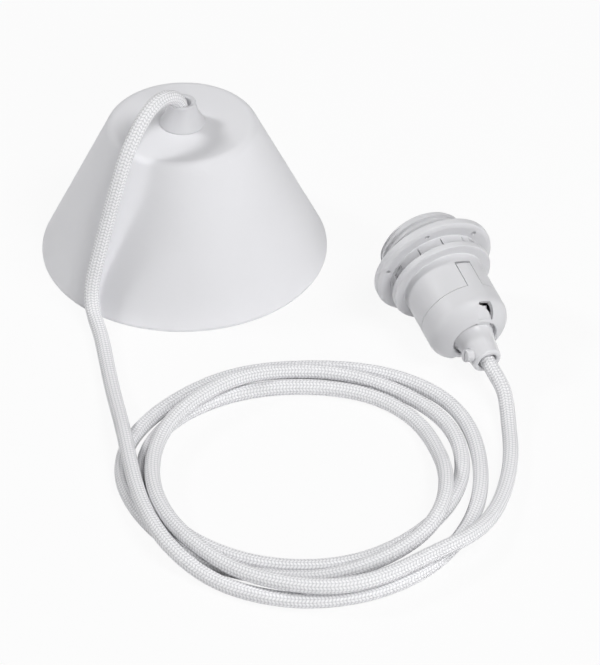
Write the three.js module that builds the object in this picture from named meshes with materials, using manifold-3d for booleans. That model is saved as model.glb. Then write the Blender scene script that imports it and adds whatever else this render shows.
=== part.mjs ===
// Pendant cord set: a conical ceiling cup, a braided cord laid in loops and a screw lampholder.
// Millimetres, +Z up. The cup stands on its rim and the lampholder lies on the same surface, z = 0.
import * as THREE from 'three';
import { mergeVertices } from 'three/addons/utils/BufferGeometryUtils.js';
import Module from 'manifold-3d';

const wasm = await Module();
wasm.setup();

// Clearances
const fit = 0.3;
const overrun = 1.0;
const weld = 1e-4;

// Roundness of turned shapes
const largeSides = 60;
const mediumSides = 36;
const gripSides = 28;
const smallSides = 24;
const screwSides = 12;
const largeRound = 3;
const smallRound = 0.9;
const largeSteps = 5;
const middleSteps = 2;

// Cord
const cordRadius = 3.5;
const cordSides = 8;
const tightStep = 6.2;
const looseStep = 21;
const landingStep = 8.8;
const tightStart = 88;
const tightEnd = 62;
const lap = 0.4;
const coreRadius = 1.1;
const coreSides = 8;

// Ceiling cup
const cupRimRadius = 67.25;
const cupTopRadius = 34.1;
const cupHeight = 71.2;
const cupRimHeight = 1.5;
const cupWall = 2.2;
const cupShoulder = 4.5;
const cupCeiling = cupHeight - cupWall;

// Cord grip on the cup
const gripBaseRadius = 11.2;
const gripNeckRadius = 7.1;
const gripHeight = 11.4;
const gripFlare = 2.6;
const gripEdge = 0.8;
const gripStemRadius = 6.4;
const gripStemLength = 9.5;
const gripBoreRadius = cordRadius + 1.5;
const gripNutWidth = 20;
const gripNutHeight = 4.5;

// Hook and terminal block inside the cup
const hookWidth = 16;
const hookDepth = 13;
const hookHeight = 9;
const hookSink = 2.5;
const hookEyeRadius = 8;
const hookEyeHole = 5.2;
const hookEyeThickness = 4.5;
const coreInset = 2.8;
const blockLength = 17;
const blockDepth = 11;
const blockHeight = 18;
const blockTop = 33;
const poleSpacing = 8;
const poleBore = 1.9;
const blockScrewRadius = 1.6;
const blockScrewLength = 4.6;
const driverWidth = 0.7;
const driverDepth = 0.9;

// Lampholder, along its own axis from the mouth to the cord
const sleeveMouth = -18.7;
const threadRoot = 19.0;
const threadCrest = 20.1;
const threadPitch = 3.0;
const threadEnd = -0.5;
const flangeRadius = 24.1;
const flangeStart = 4.8;
const flangeEnd = 8.0;
const bodyRadius = 19.24;
const seamPlace = 27.4;
const mouthBore = 16.6;
const mouthDepth = 5.5;
const chamberWall = 2.24;
const chamberBore = bodyRadius - chamberWall;
const blockPlace = 15.6;

// Shade ring
const ringRadius = 28.75;
const ringFront = -5.2;
const ringBack = -1.0;
const ringWeb = 1.8;
const ringHubRadius = 21.9;
const ringHoles = 6;
const ringHoleRadius = 1.1;
const ringHolePlace = 24.9;
const ringHoleTurn = 46.5;
const hubSlits = 12;
const hubSlitWidth = 0.6;
const hubSlitTurn = 2;
const hubNotches = 3;
const hubNotchWidth = 6.5;
const hubNotchTurn = 42;
const hubSlitDepth = 1.0;
const hubFloor = 0.5;
const hubStep = 0.9;

// Domed cap
const capWall = 1.9;
const capStraight = 34.9;
const capEnd = 45.0;
const capMouthRadius = 10.6;
const latchTurn = 75;
const latchWidth = 7.6;
const latchLength = 13.4;
const latchThickness = 1.7;
const releaseSlot = 1.1;
const windowWidth = 7.0;
const windowStart = 37.4;
const windowEnd = 43.0;
const windowFloor = 10.5;
const windowSink = 0.9;
const rampFoot = 0.5;
const rampLip = 0.6;
const domeFoot = 3.0;
const domeSteps = 7;

// Cord gland and its clamp screw
const cordInset = 42.0;
const collarRadius = 11.6;
const glandBaseRadius = 9.7;
const glandNeckRadius = 7.7;
const glandNeckPlace = 50.4;
const glandLipRadius = 6.5;
const glandEnd = 57.6;
const glandCollar = 1.6;
const glandBore = cordRadius + 0.9;
const clampTurn = 163.6;
const clampPlace = 53.1;
const clampHeadRadius = 2.9;
const clampShankRadius = 1.6;
const clampHeadHeight = 3.4;
const clampFace = 10.4;
const clampSlotWidth = 0.9;
const clampSlotDepth = 1.2;
const clampSlotTurn = 35;

// Contacts inside the lampholder
const shellRadius = 14.2;
const shellWave = 0.45;
const shellWall = 0.5;
const shellPitch = 3.63;
const shellTurns = 4;
const insulatorThickness = 6.5;
const contactWidth = 5;
const contactThickness = 0.5;
const contactRise = 3.4;
const sideGap = 2.95;
const sideLength = 5.7;
const sideLean = 1.6;
const sideRise = 5.2;
const terminalPlace = 8.5;
const terminalRadius = 2.3;
const terminalHeight = 2.6;

// Where the lampholder lies, measured from the cup's axis
const holderX = 116.8;
const holderY = -55.3;
const holderHeading = 23.86;

const matteWhite = new THREE.MeshStandardMaterial({ color: 0xe9e9ea, roughness: 0.62, metalness: 0 });
const glossWhite = new THREE.MeshStandardMaterial({ color: 0xe6e6e8, roughness: 0.38, metalness: 0 });
const braidWhite = new THREE.MeshStandardMaterial({ color: 0xe7e6e8, roughness: 0.85, metalness: 0 });
const brass = new THREE.MeshStandardMaterial({ color: 0xc8a658, roughness: 0.35, metalness: 1 });
const steel = new THREE.MeshStandardMaterial({ color: 0xb9bcc0, roughness: 0.35, metalness: 1 });
const insulator = new THREE.MeshStandardMaterial({ color: 0xdedbd2, roughness: 0.5, metalness: 0 });
const brownCore = new THREE.MeshStandardMaterial({ color: 0x5a3423, roughness: 0.55, metalness: 0 });
const blueCore = new THREE.MeshStandardMaterial({ color: 0x2c4f8c, roughness: 0.55, metalness: 0 });

const group = new THREE.Group();

// A closed triangle mesh as a solid that can be cut and joined
function solid(geometry) {
  const bare = geometry.clone();
  bare.deleteAttribute('normal');
  bare.deleteAttribute('uv');
  const merged = mergeVertices(bare, weld);
  const corners = merged.index.array;
  const triangles = [];
  for (let i = 0; i < corners.length; i += 3) {
    const [a, b, c] = [corners[i], corners[i + 1], corners[i + 2]];
    if (a !== b && b !== c && c !== a) triangles.push(a, b, c);
  }
  return new wasm.Manifold(new wasm.Mesh({
    numProp: 3,
    vertProperties: Float32Array.from(merged.attributes.position.array),
    triVerts: Uint32Array.from(triangles),
  }));
}

// A solid as a three.js geometry with flat faces
function geometryOf(shape) {
  const mesh = shape.getMesh();
  const indexed = new THREE.BufferGeometry();
  indexed.setAttribute('position', new THREE.BufferAttribute(mesh.vertProperties, 3));
  indexed.setIndex(new THREE.BufferAttribute(mesh.triVerts, 1));
  const geometry = indexed.toNonIndexed();
  geometry.computeVertexNormals();
  return geometry;
}

function addPiece(parent, name, shape, material) {
  const mesh = new THREE.Mesh(geometryOf(shape), material);
  mesh.name = name;
  parent.add(mesh);
  return mesh;
}

// How many straight steps stand for a rounded corner: the smallest ones become a chamfer
function arcSteps(radius) {
  if (radius > largeRound) return largeSteps;
  return radius > smallRound ? middleSteps : 1;
}

// A closed outline of corners [across, along, radius]; each radius rounds its corner with an arc
function rounded(corners) {
  const points = [];
  corners.forEach(([x, y, radius = 0], i) => {
    if (radius === 0) {
      points.push(new THREE.Vector2(x, y));
      return;
    }
    const steps = arcSteps(radius);
    const here = new THREE.Vector2(x, y);
    const before = corners[(i + corners.length - 1) % corners.length];
    const after = corners[(i + 1) % corners.length];
    const back = new THREE.Vector2(before[0], before[1]).sub(here).normalize();
    const ahead = new THREE.Vector2(after[0], after[1]).sub(here).normalize();
    const half = Math.acos(THREE.MathUtils.clamp(back.dot(ahead), -1, 1)) / 2;
    const middle = back.clone().add(ahead).normalize();
    const centre = here.clone().addScaledVector(middle, radius / Math.sin(half));
    const start = here.clone().addScaledVector(back, radius / Math.tan(half)).sub(centre);
    const sweep = Math.PI - 2 * half;
    const turn = Math.sign(back.x * ahead.y - back.y * ahead.x) * -1;
    for (let step = 0; step <= steps; step += 1) {
      const spoke = start.clone().rotateAround(new THREE.Vector2(), turn * sweep * step / steps);
      points.push(centre.clone().add(spoke));
    }
  });
  return points;
}

// A closed outline of [radius, height] points turned about the Z axis
function revolve(outline, sides) {
  const points = [...outline, outline[0]];
  return solid(new THREE.LatheGeometry(points, sides).rotateX(Math.PI / 2));
}

// A straight cylinder along Z between two heights
function rod(radius, bottom, top, sides = smallSides) {
  const cylinder = new THREE.CylinderGeometry(radius, radius, top - bottom, sides);
  return solid(cylinder.rotateX(Math.PI / 2).translate(0, 0, (bottom + top) / 2));
}

function box(x0, x1, y0, y1, z0, z1) {
  const brick = new THREE.BoxGeometry(x1 - x0, y1 - y0, z1 - z0);
  return solid(brick.translate((x0 + x1) / 2, (y0 + y1) / 2, (z0 + z1) / 2));
}

// A flat outline in X and Z, made thick along Y
function plate(outline, thickness) {
  const shape = new THREE.Shape(outline.map((point) => new THREE.Vector2(point.x, point.y)));
  const slab = new THREE.ExtrudeGeometry(shape, { depth: thickness, bevelEnabled: false });
  return solid(slab.translate(0, 0, -thickness / 2).rotateX(Math.PI / 2));
}

// A shape turned about Z by an angle in degrees
function turned(shape, degrees) {
  return shape.rotate([0, 0, degrees]);
}

// A round bar along a curve
function bar(path, radius, sides, steps) {
  const section = new THREE.Shape();
  for (let side = 0; side < sides; side += 1) {
    const angle = 2 * Math.PI * (side + 0.5) / sides;
    const place = [radius * Math.cos(angle), radius * Math.sin(angle)];
    if (side === 0) section.moveTo(...place);
    else section.lineTo(...place);
  }
  return solid(new THREE.ExtrudeGeometry(section, { steps, extrudePath: path, bevelEnabled: false }));
}

function smoothCurve(route) {
  return new THREE.CatmullRomCurve3(route.map((point) => new THREE.Vector3(...point)));
}

// The part of a curve between two distances along it
class Stretch extends THREE.Curve {
  constructor(whole, from, to) {
    super();
    this.whole = whole;
    this.from = from / whole.getLength();
    this.to = to / whole.getLength();
  }

  getPoint(t, target = new THREE.Vector3()) {
    return target.copy(this.whole.getPointAt(this.from + (this.to - this.from) * t));
  }
}

// A round rod with a coarse rolled thread: rows of points follow the helix, root and crest in turn,
// and are held at the rod's two ends, where the thread runs out
function threadedRod(root, crest, pitch, start, end, sides) {
  const rowsPerTurn = 2;
  const rows = Math.ceil((end - start) / pitch * rowsPerTurn) + 2 * rowsPerTurn;
  const positions = [];
  for (let side = 0; side <= sides; side += 1) {
    const angle = 2 * Math.PI * (side % sides) / sides;
    for (let row = 0; row <= rows; row += 1) {
      const raw = start + pitch * (row / rowsPerTurn + side / sides - 1);
      const along = THREE.MathUtils.clamp(raw, start, end);
      const isCrest = row % rowsPerTurn === 1;
      const radius = isCrest && raw > start + overrun && raw < end - overrun ? crest : root;
      positions.push(radius * Math.cos(angle), radius * Math.sin(angle), along);
    }
  }
  const count = rows + 1;
  const index = [];
  for (let side = 0; side < sides; side += 1) {
    for (let row = 0; row < rows; row += 1) {
      const a = side * count + row;
      const b = a + count;
      index.push(a, b, b + 1, a, b + 1, a + 1);
    }
  }
  const low = positions.length / 3;
  positions.push(0, 0, start, 0, 0, end);
  for (let side = 0; side < sides; side += 1) {
    const near = side * count;
    index.push(low, near + count, near);
    index.push(low + 1, near + rows, near + count + rows);
  }
  const geometry = new THREE.BufferGeometry();
  geometry.setAttribute('position', new THREE.Float32BufferAttribute(positions, 3));
  geometry.setIndex(index);
  return solid(geometry);
}

// Ceiling cup: a straight cone with a flat top, open below
function ceilingCup() {
  const slope = (cupRimRadius - cupTopRadius) / (cupHeight - cupRimHeight);
  const across = cupWall * Math.hypot(1, slope);
  const holeRadius = gripStemRadius + fit;
  const outline = rounded([
    [cupRimRadius - cupWall, 0, 0.6],
    [cupRimRadius, 0, 0.6],
    [cupRimRadius, cupRimHeight],
    [cupTopRadius, cupHeight, cupShoulder],
    [holeRadius, cupHeight],
    [holeRadius, cupCeiling],
    [cupTopRadius + slope * cupWall - across, cupCeiling, cupShoulder - cupWall],
    [cupRimRadius - cupWall, cupRimHeight + 0.4],
  ]);
  return revolve(outline, largeSides);
}

// Cord grip: a flared nipple on the cup's top with a stem through the hole
function cupGrip() {
  const seat = cupHeight + fit;
  const top = cupHeight + gripHeight;
  const flareHeight = gripHeight - fit - gripEdge;
  const flare = [];
  const steps = 7;
  for (let step = 0; step <= steps; step += 1) {
    const t = step / steps;
    const radius = gripNeckRadius + (gripBaseRadius - gripNeckRadius) * Math.pow(1 - t, gripFlare);
    flare.push([radius, seat + gripEdge + t * (flareHeight - gripEdge)]);
  }
  const bottom = cupCeiling - gripStemLength;
  const outline = rounded([
    [gripBoreRadius, bottom],
    [gripStemRadius, bottom],
    [gripStemRadius, seat],
    [gripBaseRadius, seat],
    ...flare,
    [gripNeckRadius, top, gripEdge],
    [gripBoreRadius, top, gripEdge],
  ]);
  return revolve(outline, gripSides);
}

// Hexagonal nut that holds the grip's stem under the cup's top
function gripNut() {
  const top = cupCeiling - fit;
  const acrossCorners = gripNutWidth / Math.cos(Math.PI / 6) / 2;
  const hexagon = rod(acrossCorners, top - gripNutHeight, top, 6);
  return hexagon.subtract(rod(gripStemRadius + fit, top - gripNutHeight - overrun, top + overrun));
}

const hookTop = cupCeiling - gripStemLength - fit;
const hookBottom = hookTop - hookHeight;

// Hook block: the cord is gripped in it, and its eye hangs on the ceiling hook
function cordHook() {
  const eyeX = hookWidth / 2 + hookEyeRadius - hookSink;
  const body = box(-hookWidth / 2, hookWidth / 2, -hookDepth / 2, hookDepth / 2, hookBottom, hookTop);
  const middle = (hookTop + hookBottom) / 2;
  const ring = rod(hookEyeRadius, -hookEyeThickness / 2, hookEyeThickness / 2).rotate([90, 0, 0]);
  const eye = rod(hookEyeHole, -hookEyeThickness, hookEyeThickness).rotate([90, 0, 0]);
  const joined = body.add(ring.translate([eyeX, 0, middle]));
  const opening = eye.translate([eyeX, 0, middle]).trimByPlane([1, 0, 0], hookWidth / 2);
  const bored = joined.subtract(opening);
  const cordHole = rod(cordRadius + fit, hookBottom - overrun, hookTop + overrun);
  const screwHole = rod(blockScrewRadius + fit, cordRadius, hookWidth).rotate([0, -90, 0]);
  return bored.subtract(cordHole).subtract(screwHole.translate([0, 0, middle]));
}

// A slotted screw along Z with its tip at z = 0
function slottedScrew(radius, length) {
  const slot = screwSlot(radius, length, driverWidth, driverDepth);
  return rod(radius, 0, length, screwSides).subtract(slot);
}

// The slot across a screw's face
function screwSlot(radius, face, width, depth) {
  const half = radius + overrun;
  return box(-width / 2, width / 2, -half, half, face - depth, face + overrun);
}

function hookScrew() {
  const length = hookWidth / 2 - cordRadius - fit;
  const screw = slottedScrew(blockScrewRadius, length).rotate([0, -90, 0]);
  return screw.translate([-cordRadius - fit, 0, (hookTop + hookBottom) / 2]);
}

const blockBottom = blockTop - blockHeight;

// Two-pole terminal block with an upright bore for each core and a screw hole at each end
function terminalBlock() {
  let body = box(-blockLength / 2, blockLength / 2, -blockDepth / 2, blockDepth / 2, blockBottom, blockTop);
  for (const x of [-poleSpacing / 2, poleSpacing / 2]) {
    const bore = rod(poleBore, blockBottom - overrun, blockTop + overrun, screwSides);
    body = body.subtract(bore.translate([x, 0, 0]));
    for (const z of screwHeights()) {
      const hole = rod(blockScrewRadius + fit, 0, blockDepth, screwSides).rotate([90, 0, 0]);
      body = body.subtract(hole.translate([x, 0, z]));
    }
  }
  return body;
}

function screwHeights() {
  const inset = blockHeight / 4;
  return [blockBottom + inset, blockTop - inset];
}

function blockScrew(x, z) {
  const length = blockDepth / 2 - coreRadius - fit;
  const screw = slottedScrew(blockScrewRadius, Math.min(length, blockScrewLength)).rotate([90, 0, 0]);
  return screw.translate([x, -coreRadius - fit, z]);
}

function cupCore(side) {
  const cordEnd = hookBottom + coreInset;
  const x = side * poleSpacing / 2;
  const route = [
    [side * 1.5, 0, cordEnd - fit],
    [side * 1.6, 0, hookBottom - 1],
    [x, 0, blockTop + 3],
    [x, 0, blockTop],
    [x, 0, blockTop - blockHeight * 0.4],
  ];
  return bar(smoothCurve(route), coreRadius, coreSides, 12);
}

// Threaded sleeve with its fixed flange and the straight part of the housing
function threadedSleeve() {
  const thread = threadedRod(threadRoot, threadCrest, threadPitch, sleeveMouth, threadEnd, mediumSides);
  const neckBore = threadRoot - 3;
  const housing = revolve(rounded([
    [neckBore, threadEnd - overrun],
    [threadRoot, threadEnd - overrun],
    [threadRoot, flangeStart],
    [flangeRadius, flangeStart, 0.7],
    [flangeRadius, flangeEnd - 0.6, 0.7],
    [bodyRadius + 1.0, flangeEnd],
    [bodyRadius, flangeEnd + 1.0],
    [bodyRadius, seamPlace],
    [neckBore, seamPlace],
  ]), mediumSides);
  const shellSeat = shellRadius + shellWave + fit;
  const hollow = revolve([
    [0, sleeveMouth - overrun],
    [mouthBore, sleeveMouth - overrun],
    [mouthBore, sleeveMouth + mouthDepth],
    [shellSeat, sleeveMouth + mouthDepth + 1],
    [shellSeat, blockPlace],
    [chamberBore, blockPlace],
    [chamberBore, seamPlace + overrun],
    [0, seamPlace + overrun],
  ].map(([x, y]) => new THREE.Vector2(x, y)), mediumSides);
  let sleeve = thread.add(housing).subtract(hollow);
  for (const turn of [latchTurn, latchTurn + 180]) {
    sleeve = sleeve.subtract(turned(latchRecess(), turn));
  }
  return sleeve;
}

// The recess in the housing that a latch tongue of the cap lies in
function latchRecess() {
  const tongueInside = (bodyRadius - latchThickness) * Math.cos(Math.PI / mediumSides);
  const inner = Math.sqrt(tongueInside ** 2 - (latchWidth / 2) ** 2) - fit;
  const half = latchWidth / 2 + fit;
  const tip = seamPlace - latchLength - releaseSlot;
  return box(inner, bodyRadius + overrun, -half, half, tip, seamPlace + overrun);
}

// How high the cap's dome reaches at a radius, at a depth below its outer face
function domeHeight(depth, radius) {
  const share = (radius - domeFoot) / (bodyRadius - depth - domeFoot);
  return capStraight + (capEnd - depth - capStraight) * Math.sqrt(1 - share ** 2);
}

// The cap's wall between two depths below its outer face: straight, then a quarter ellipse to the mouth
function capBand(outerDepth, innerDepth) {
  const dome = (depth, least) => {
    const points = [];
    for (let step = 0; step <= domeSteps; step += 1) {
      const angle = Math.PI / 2 * step / domeSteps;
      const radius = domeFoot + (bodyRadius - depth - domeFoot) * Math.cos(angle);
      const along = capStraight + (capEnd - depth - capStraight) * Math.sin(angle);
      if (radius > least) points.push([radius, along]);
    }
    return points;
  };
  const lip = capEnd - outerDepth - 0.55;
  return revolve(rounded([
    [bodyRadius - innerDepth, seamPlace + fit],
    [bodyRadius - outerDepth, seamPlace + fit],
    ...dome(outerDepth, capMouthRadius + 1),
    [capMouthRadius + 0.5, lip],
    [capMouthRadius, lip - 0.4],
    [capMouthRadius, capEnd - innerDepth - 0.9],
    ...dome(innerDepth, capMouthRadius + 0.4).reverse(),
  ]), mediumSides);
}

// Domed cap with a round mouth, two windows and two latch tongues
function holderCap() {
  let cap = capBand(0, capWall);
  for (const turn of [latchTurn, latchTurn + 180]) {
    cap = cap.subtract(turned(capWindow(), turn));
    cap = cap.add(capBand(windowSink, capWall).intersect(turned(windowRamp(), turn)));
    cap = cap.add(turned(latchTongue(), turn));
  }
  return cap;
}

function capWindow() {
  const half = windowWidth / 2;
  return box(windowFloor, bodyRadius + overrun, -half, half, windowStart, windowEnd);
}

// The corner of a window that a sunk, slanted ramp fills
function windowRamp() {
  const half = windowWidth / 2 + weld;
  const outline = [
    new THREE.Vector2(half, windowStart + rampFoot),
    new THREE.Vector2(half, windowEnd + weld),
    new THREE.Vector2(-half, windowEnd + weld),
    new THREE.Vector2(-half, windowEnd - rampLip),
  ];
  const prism = new THREE.ExtrudeGeometry(new THREE.Shape(outline), {
    depth: bodyRadius,
    bevelEnabled: false,
  });
  return solid(prism.rotateX(Math.PI / 2).rotateZ(Math.PI / 2));
}

// A latch tongue: a strip of the cap's wall that reaches back over the housing
function latchTongue() {
  const band = revolve([
    [bodyRadius - latchThickness, seamPlace - latchLength],
    [bodyRadius, seamPlace - latchLength],
    [bodyRadius, capStraight],
    [bodyRadius - latchThickness, capStraight],
  ].map(([x, y]) => new THREE.Vector2(x, y)), mediumSides);
  const half = latchWidth / 2;
  return band.intersect(box(0, bodyRadius + overrun, -half, half, 0, capStraight));
}

// Shade ring: a wide flange with a turned-in rim, and a hub cut into castellations
function shadeRing() {
  const bore = threadCrest + fit;
  const hubEnd = flangeStart - fit;
  const ring = revolve(rounded([
    [bore, ringFront + 1.2],
    [ringHubRadius, ringFront + 1.2, 0.5],
    [ringRadius - 1.6, ringFront + 1.2],
    [ringRadius - 1.6, ringFront, 0.5],
    [ringRadius, ringFront, 0.8],
    [ringRadius, ringBack - 0.8, 0.8],
    [ringRadius - 2.2, ringBack],
    [ringHubRadius + 0.8, ringBack],
    [ringHubRadius, ringBack + 0.8],
    [ringHubRadius, hubEnd - 1.6, 0.4],
    [ringHubRadius - 0.5, hubEnd, 0.3],
    [bore, hubEnd],
  ]), mediumSides);
  let shaped = ring;
  for (let hole = 0; hole < ringHoles; hole += 1) {
    const drill = rod(ringHoleRadius, ringBack - ringWeb, ringBack + overrun, screwSides);
    const angle = ringHoleTurn + 360 * hole / ringHoles;
    shaped = shaped.subtract(turned(drill.translate([ringHolePlace, 0, 0]), angle));
  }
  for (let slit = 0; slit < hubSlits; slit += 1) {
    const cut = hubCut(ringHubRadius - hubSlitDepth, hubSlitWidth);
    shaped = shaped.subtract(turned(cut, hubSlitTurn + 360 * slit / hubSlits));
  }
  for (let notch = 0; notch < hubNotches; notch += 1) {
    const cut = hubCut(bore + hubFloor, hubNotchWidth);
    shaped = shaped.subtract(turned(cut, hubNotchTurn + 360 * notch / hubNotches));
  }
  return shaped;
}

// A cut in the hub's outside, from a radius outwards, open at the hub's end
function hubCut(floor, width) {
  const half = width / 2;
  return box(floor, ringHubRadius + overrun, -half, half, ringBack + hubStep, flangeStart + overrun);
}

// Cord gland: a bell that comes out of the cap's mouth and grips the cord
function cordGland() {
  const collarTop = domeHeight(capWall, collarRadius) - fit;
  const base = collarTop - glandCollar;
  const bell = [];
  const steps = 6;
  for (let step = 0; step <= steps; step += 1) {
    const t = step / steps;
    const radius = glandNeckRadius + (glandBaseRadius - glandNeckRadius) * Math.pow(1 - t, 1.7);
    bell.push([radius, collarTop + 0.6 + t * (glandNeckPlace - collarTop - 0.6)]);
  }
  const gland = revolve(rounded([
    [glandBore, base],
    [collarRadius, base],
    [collarRadius, collarTop],
    [glandBaseRadius, collarTop],
    ...bell,
    [glandLipRadius + 0.3, glandEnd - 2.2],
    [glandLipRadius + 0.3, glandEnd, 1.3],
    [glandBore, glandEnd, 0.7],
  ]), gripSides);
  const hole = rod(clampShankRadius + fit, 0, clampFace, screwSides).rotate([0, 90, 0]);
  const headSeat = clampFace - clampHeadHeight - fit;
  const pocket = rod(clampHeadRadius + fit, headSeat, clampFace + overrun).rotate([0, 90, 0]);
  const screwSeat = hole.add(pocket).translate([0, 0, clampPlace]);
  return gland.subtract(turned(screwSeat, clampTurn));
}

// Clamp screw of the gland, on a radius of the lampholder
function clampScrew() {
  const tip = cordRadius + fit;
  const headStart = clampFace - clampHeadHeight;
  const shank = rod(clampShankRadius, tip, headStart + 0.2, screwSides);
  const head = rod(clampHeadRadius, headStart, clampFace, smallSides);
  const slot = screwSlot(clampHeadRadius, clampFace, clampSlotWidth, clampSlotDepth);
  const screw = shank.add(head).subtract(turned(slot, clampSlotTurn));
  return turned(screw.rotate([0, 90, 0]).translate([0, 0, clampPlace]), clampTurn);
}

// Screw shell for the lamp's cap: a thin sleeve pressed into rounded rings
function screwShell() {
  const outer = [];
  const inner = [];
  const perTurn = 2;
  const end = blockPlace - fit;
  const start = end - shellTurns * shellPitch;
  for (let step = 0; step <= shellTurns * perTurn; step += 1) {
    const wave = shellWave * Math.cos(2 * Math.PI * step / perTurn);
    const along = start + shellPitch * step / perTurn;
    outer.push([shellRadius + wave, along]);
    inner.push([shellRadius + wave - shellWall, along]);
  }
  const footInner = shellRadius - 3.5;
  const lastInner = inner[inner.length - 1];
  lastInner[1] = end - shellWall;
  const outline = [
    ...outer,
    [footInner, end],
    [footInner, end - shellWall],
    ...inner.reverse(),
  ].map(([x, y]) => new THREE.Vector2(x, y));
  return revolve(outline, smallSides);
}

// Insulating disc that carries the contacts and the terminals
function contactBlock() {
  const back = blockPlace + insulatorThickness;
  const disc = revolve(rounded([
    [0, blockPlace],
    [chamberBore - fit, blockPlace],
    [chamberBore - fit, back, 0.8],
    [0, back],
  ]), mediumSides);
  let block = disc;
  for (const x of [-terminalPlace, terminalPlace]) {
    const hole = rod(terminalRadius + fit, back - terminalHeight, back + overrun);
    block = block.subtract(hole.translate([x, 0, 0]));
  }
  return block;
}

// Spring contact in the middle: a strip bent up towards the lamp
function centreContact() {
  const foot = blockPlace - fit;
  const t = contactThickness;
  const outline = rounded([
    [-8.6, foot],
    [-8.6, foot - t],
    [-6.2, foot - t, 0.8],
    [-2.0, foot - contactRise - t, 1.2],
    [2.0, foot - contactRise - t, 1.0],
    [3.2, foot - contactRise + 1.2],
    [2.7, foot - contactRise + 1.4],
    [1.8, foot - contactRise, 0.6],
    [-1.8, foot - contactRise, 0.8],
    [-6.0, foot, 1.2],
  ]);
  return plate(outline.reverse(), contactWidth);
}

// Side contact: a shorter strip that springs against the lamp's shell
function sideContact() {
  const foot = blockPlace - fit;
  const t = contactThickness;
  const reach = shellRadius - shellWave - shellWall - sideGap;
  const outline = rounded([
    [reach - sideLength, foot],
    [reach - sideLength, foot - t],
    [reach - sideLean, foot - t, 0.5],
    [reach - t, foot - sideRise],
    [reach, foot - sideRise],
    [reach - sideLean + t, foot, 0.9],
  ]);
  return plate(outline.reverse(), contactWidth);
}

// Terminal pillar with a slotted head, seated in the insulating disc
function holderTerminal(x) {
  const seat = blockPlace + insulatorThickness - terminalHeight + fit;
  return slottedScrew(terminalRadius, terminalHeight + 1.2).translate([x, 0, seat]);
}

function holderCore(side) {
  const terminalTop = blockPlace + insulatorThickness + 1.2 + fit;
  const cordEnd = cordInset;
  const route = [
    [side * 1.5, 0, cordEnd - fit],
    [side * 1.8, 0, cordEnd - 3.5],
    [side * (terminalPlace - 2), 0, terminalTop + 7],
    [side * terminalPlace, 0, terminalTop + fit + 2],
    [side * terminalPlace, 0, terminalTop + fit],
  ];
  return bar(smoothCurve(route), coreRadius, coreSides, 14);
}

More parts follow.
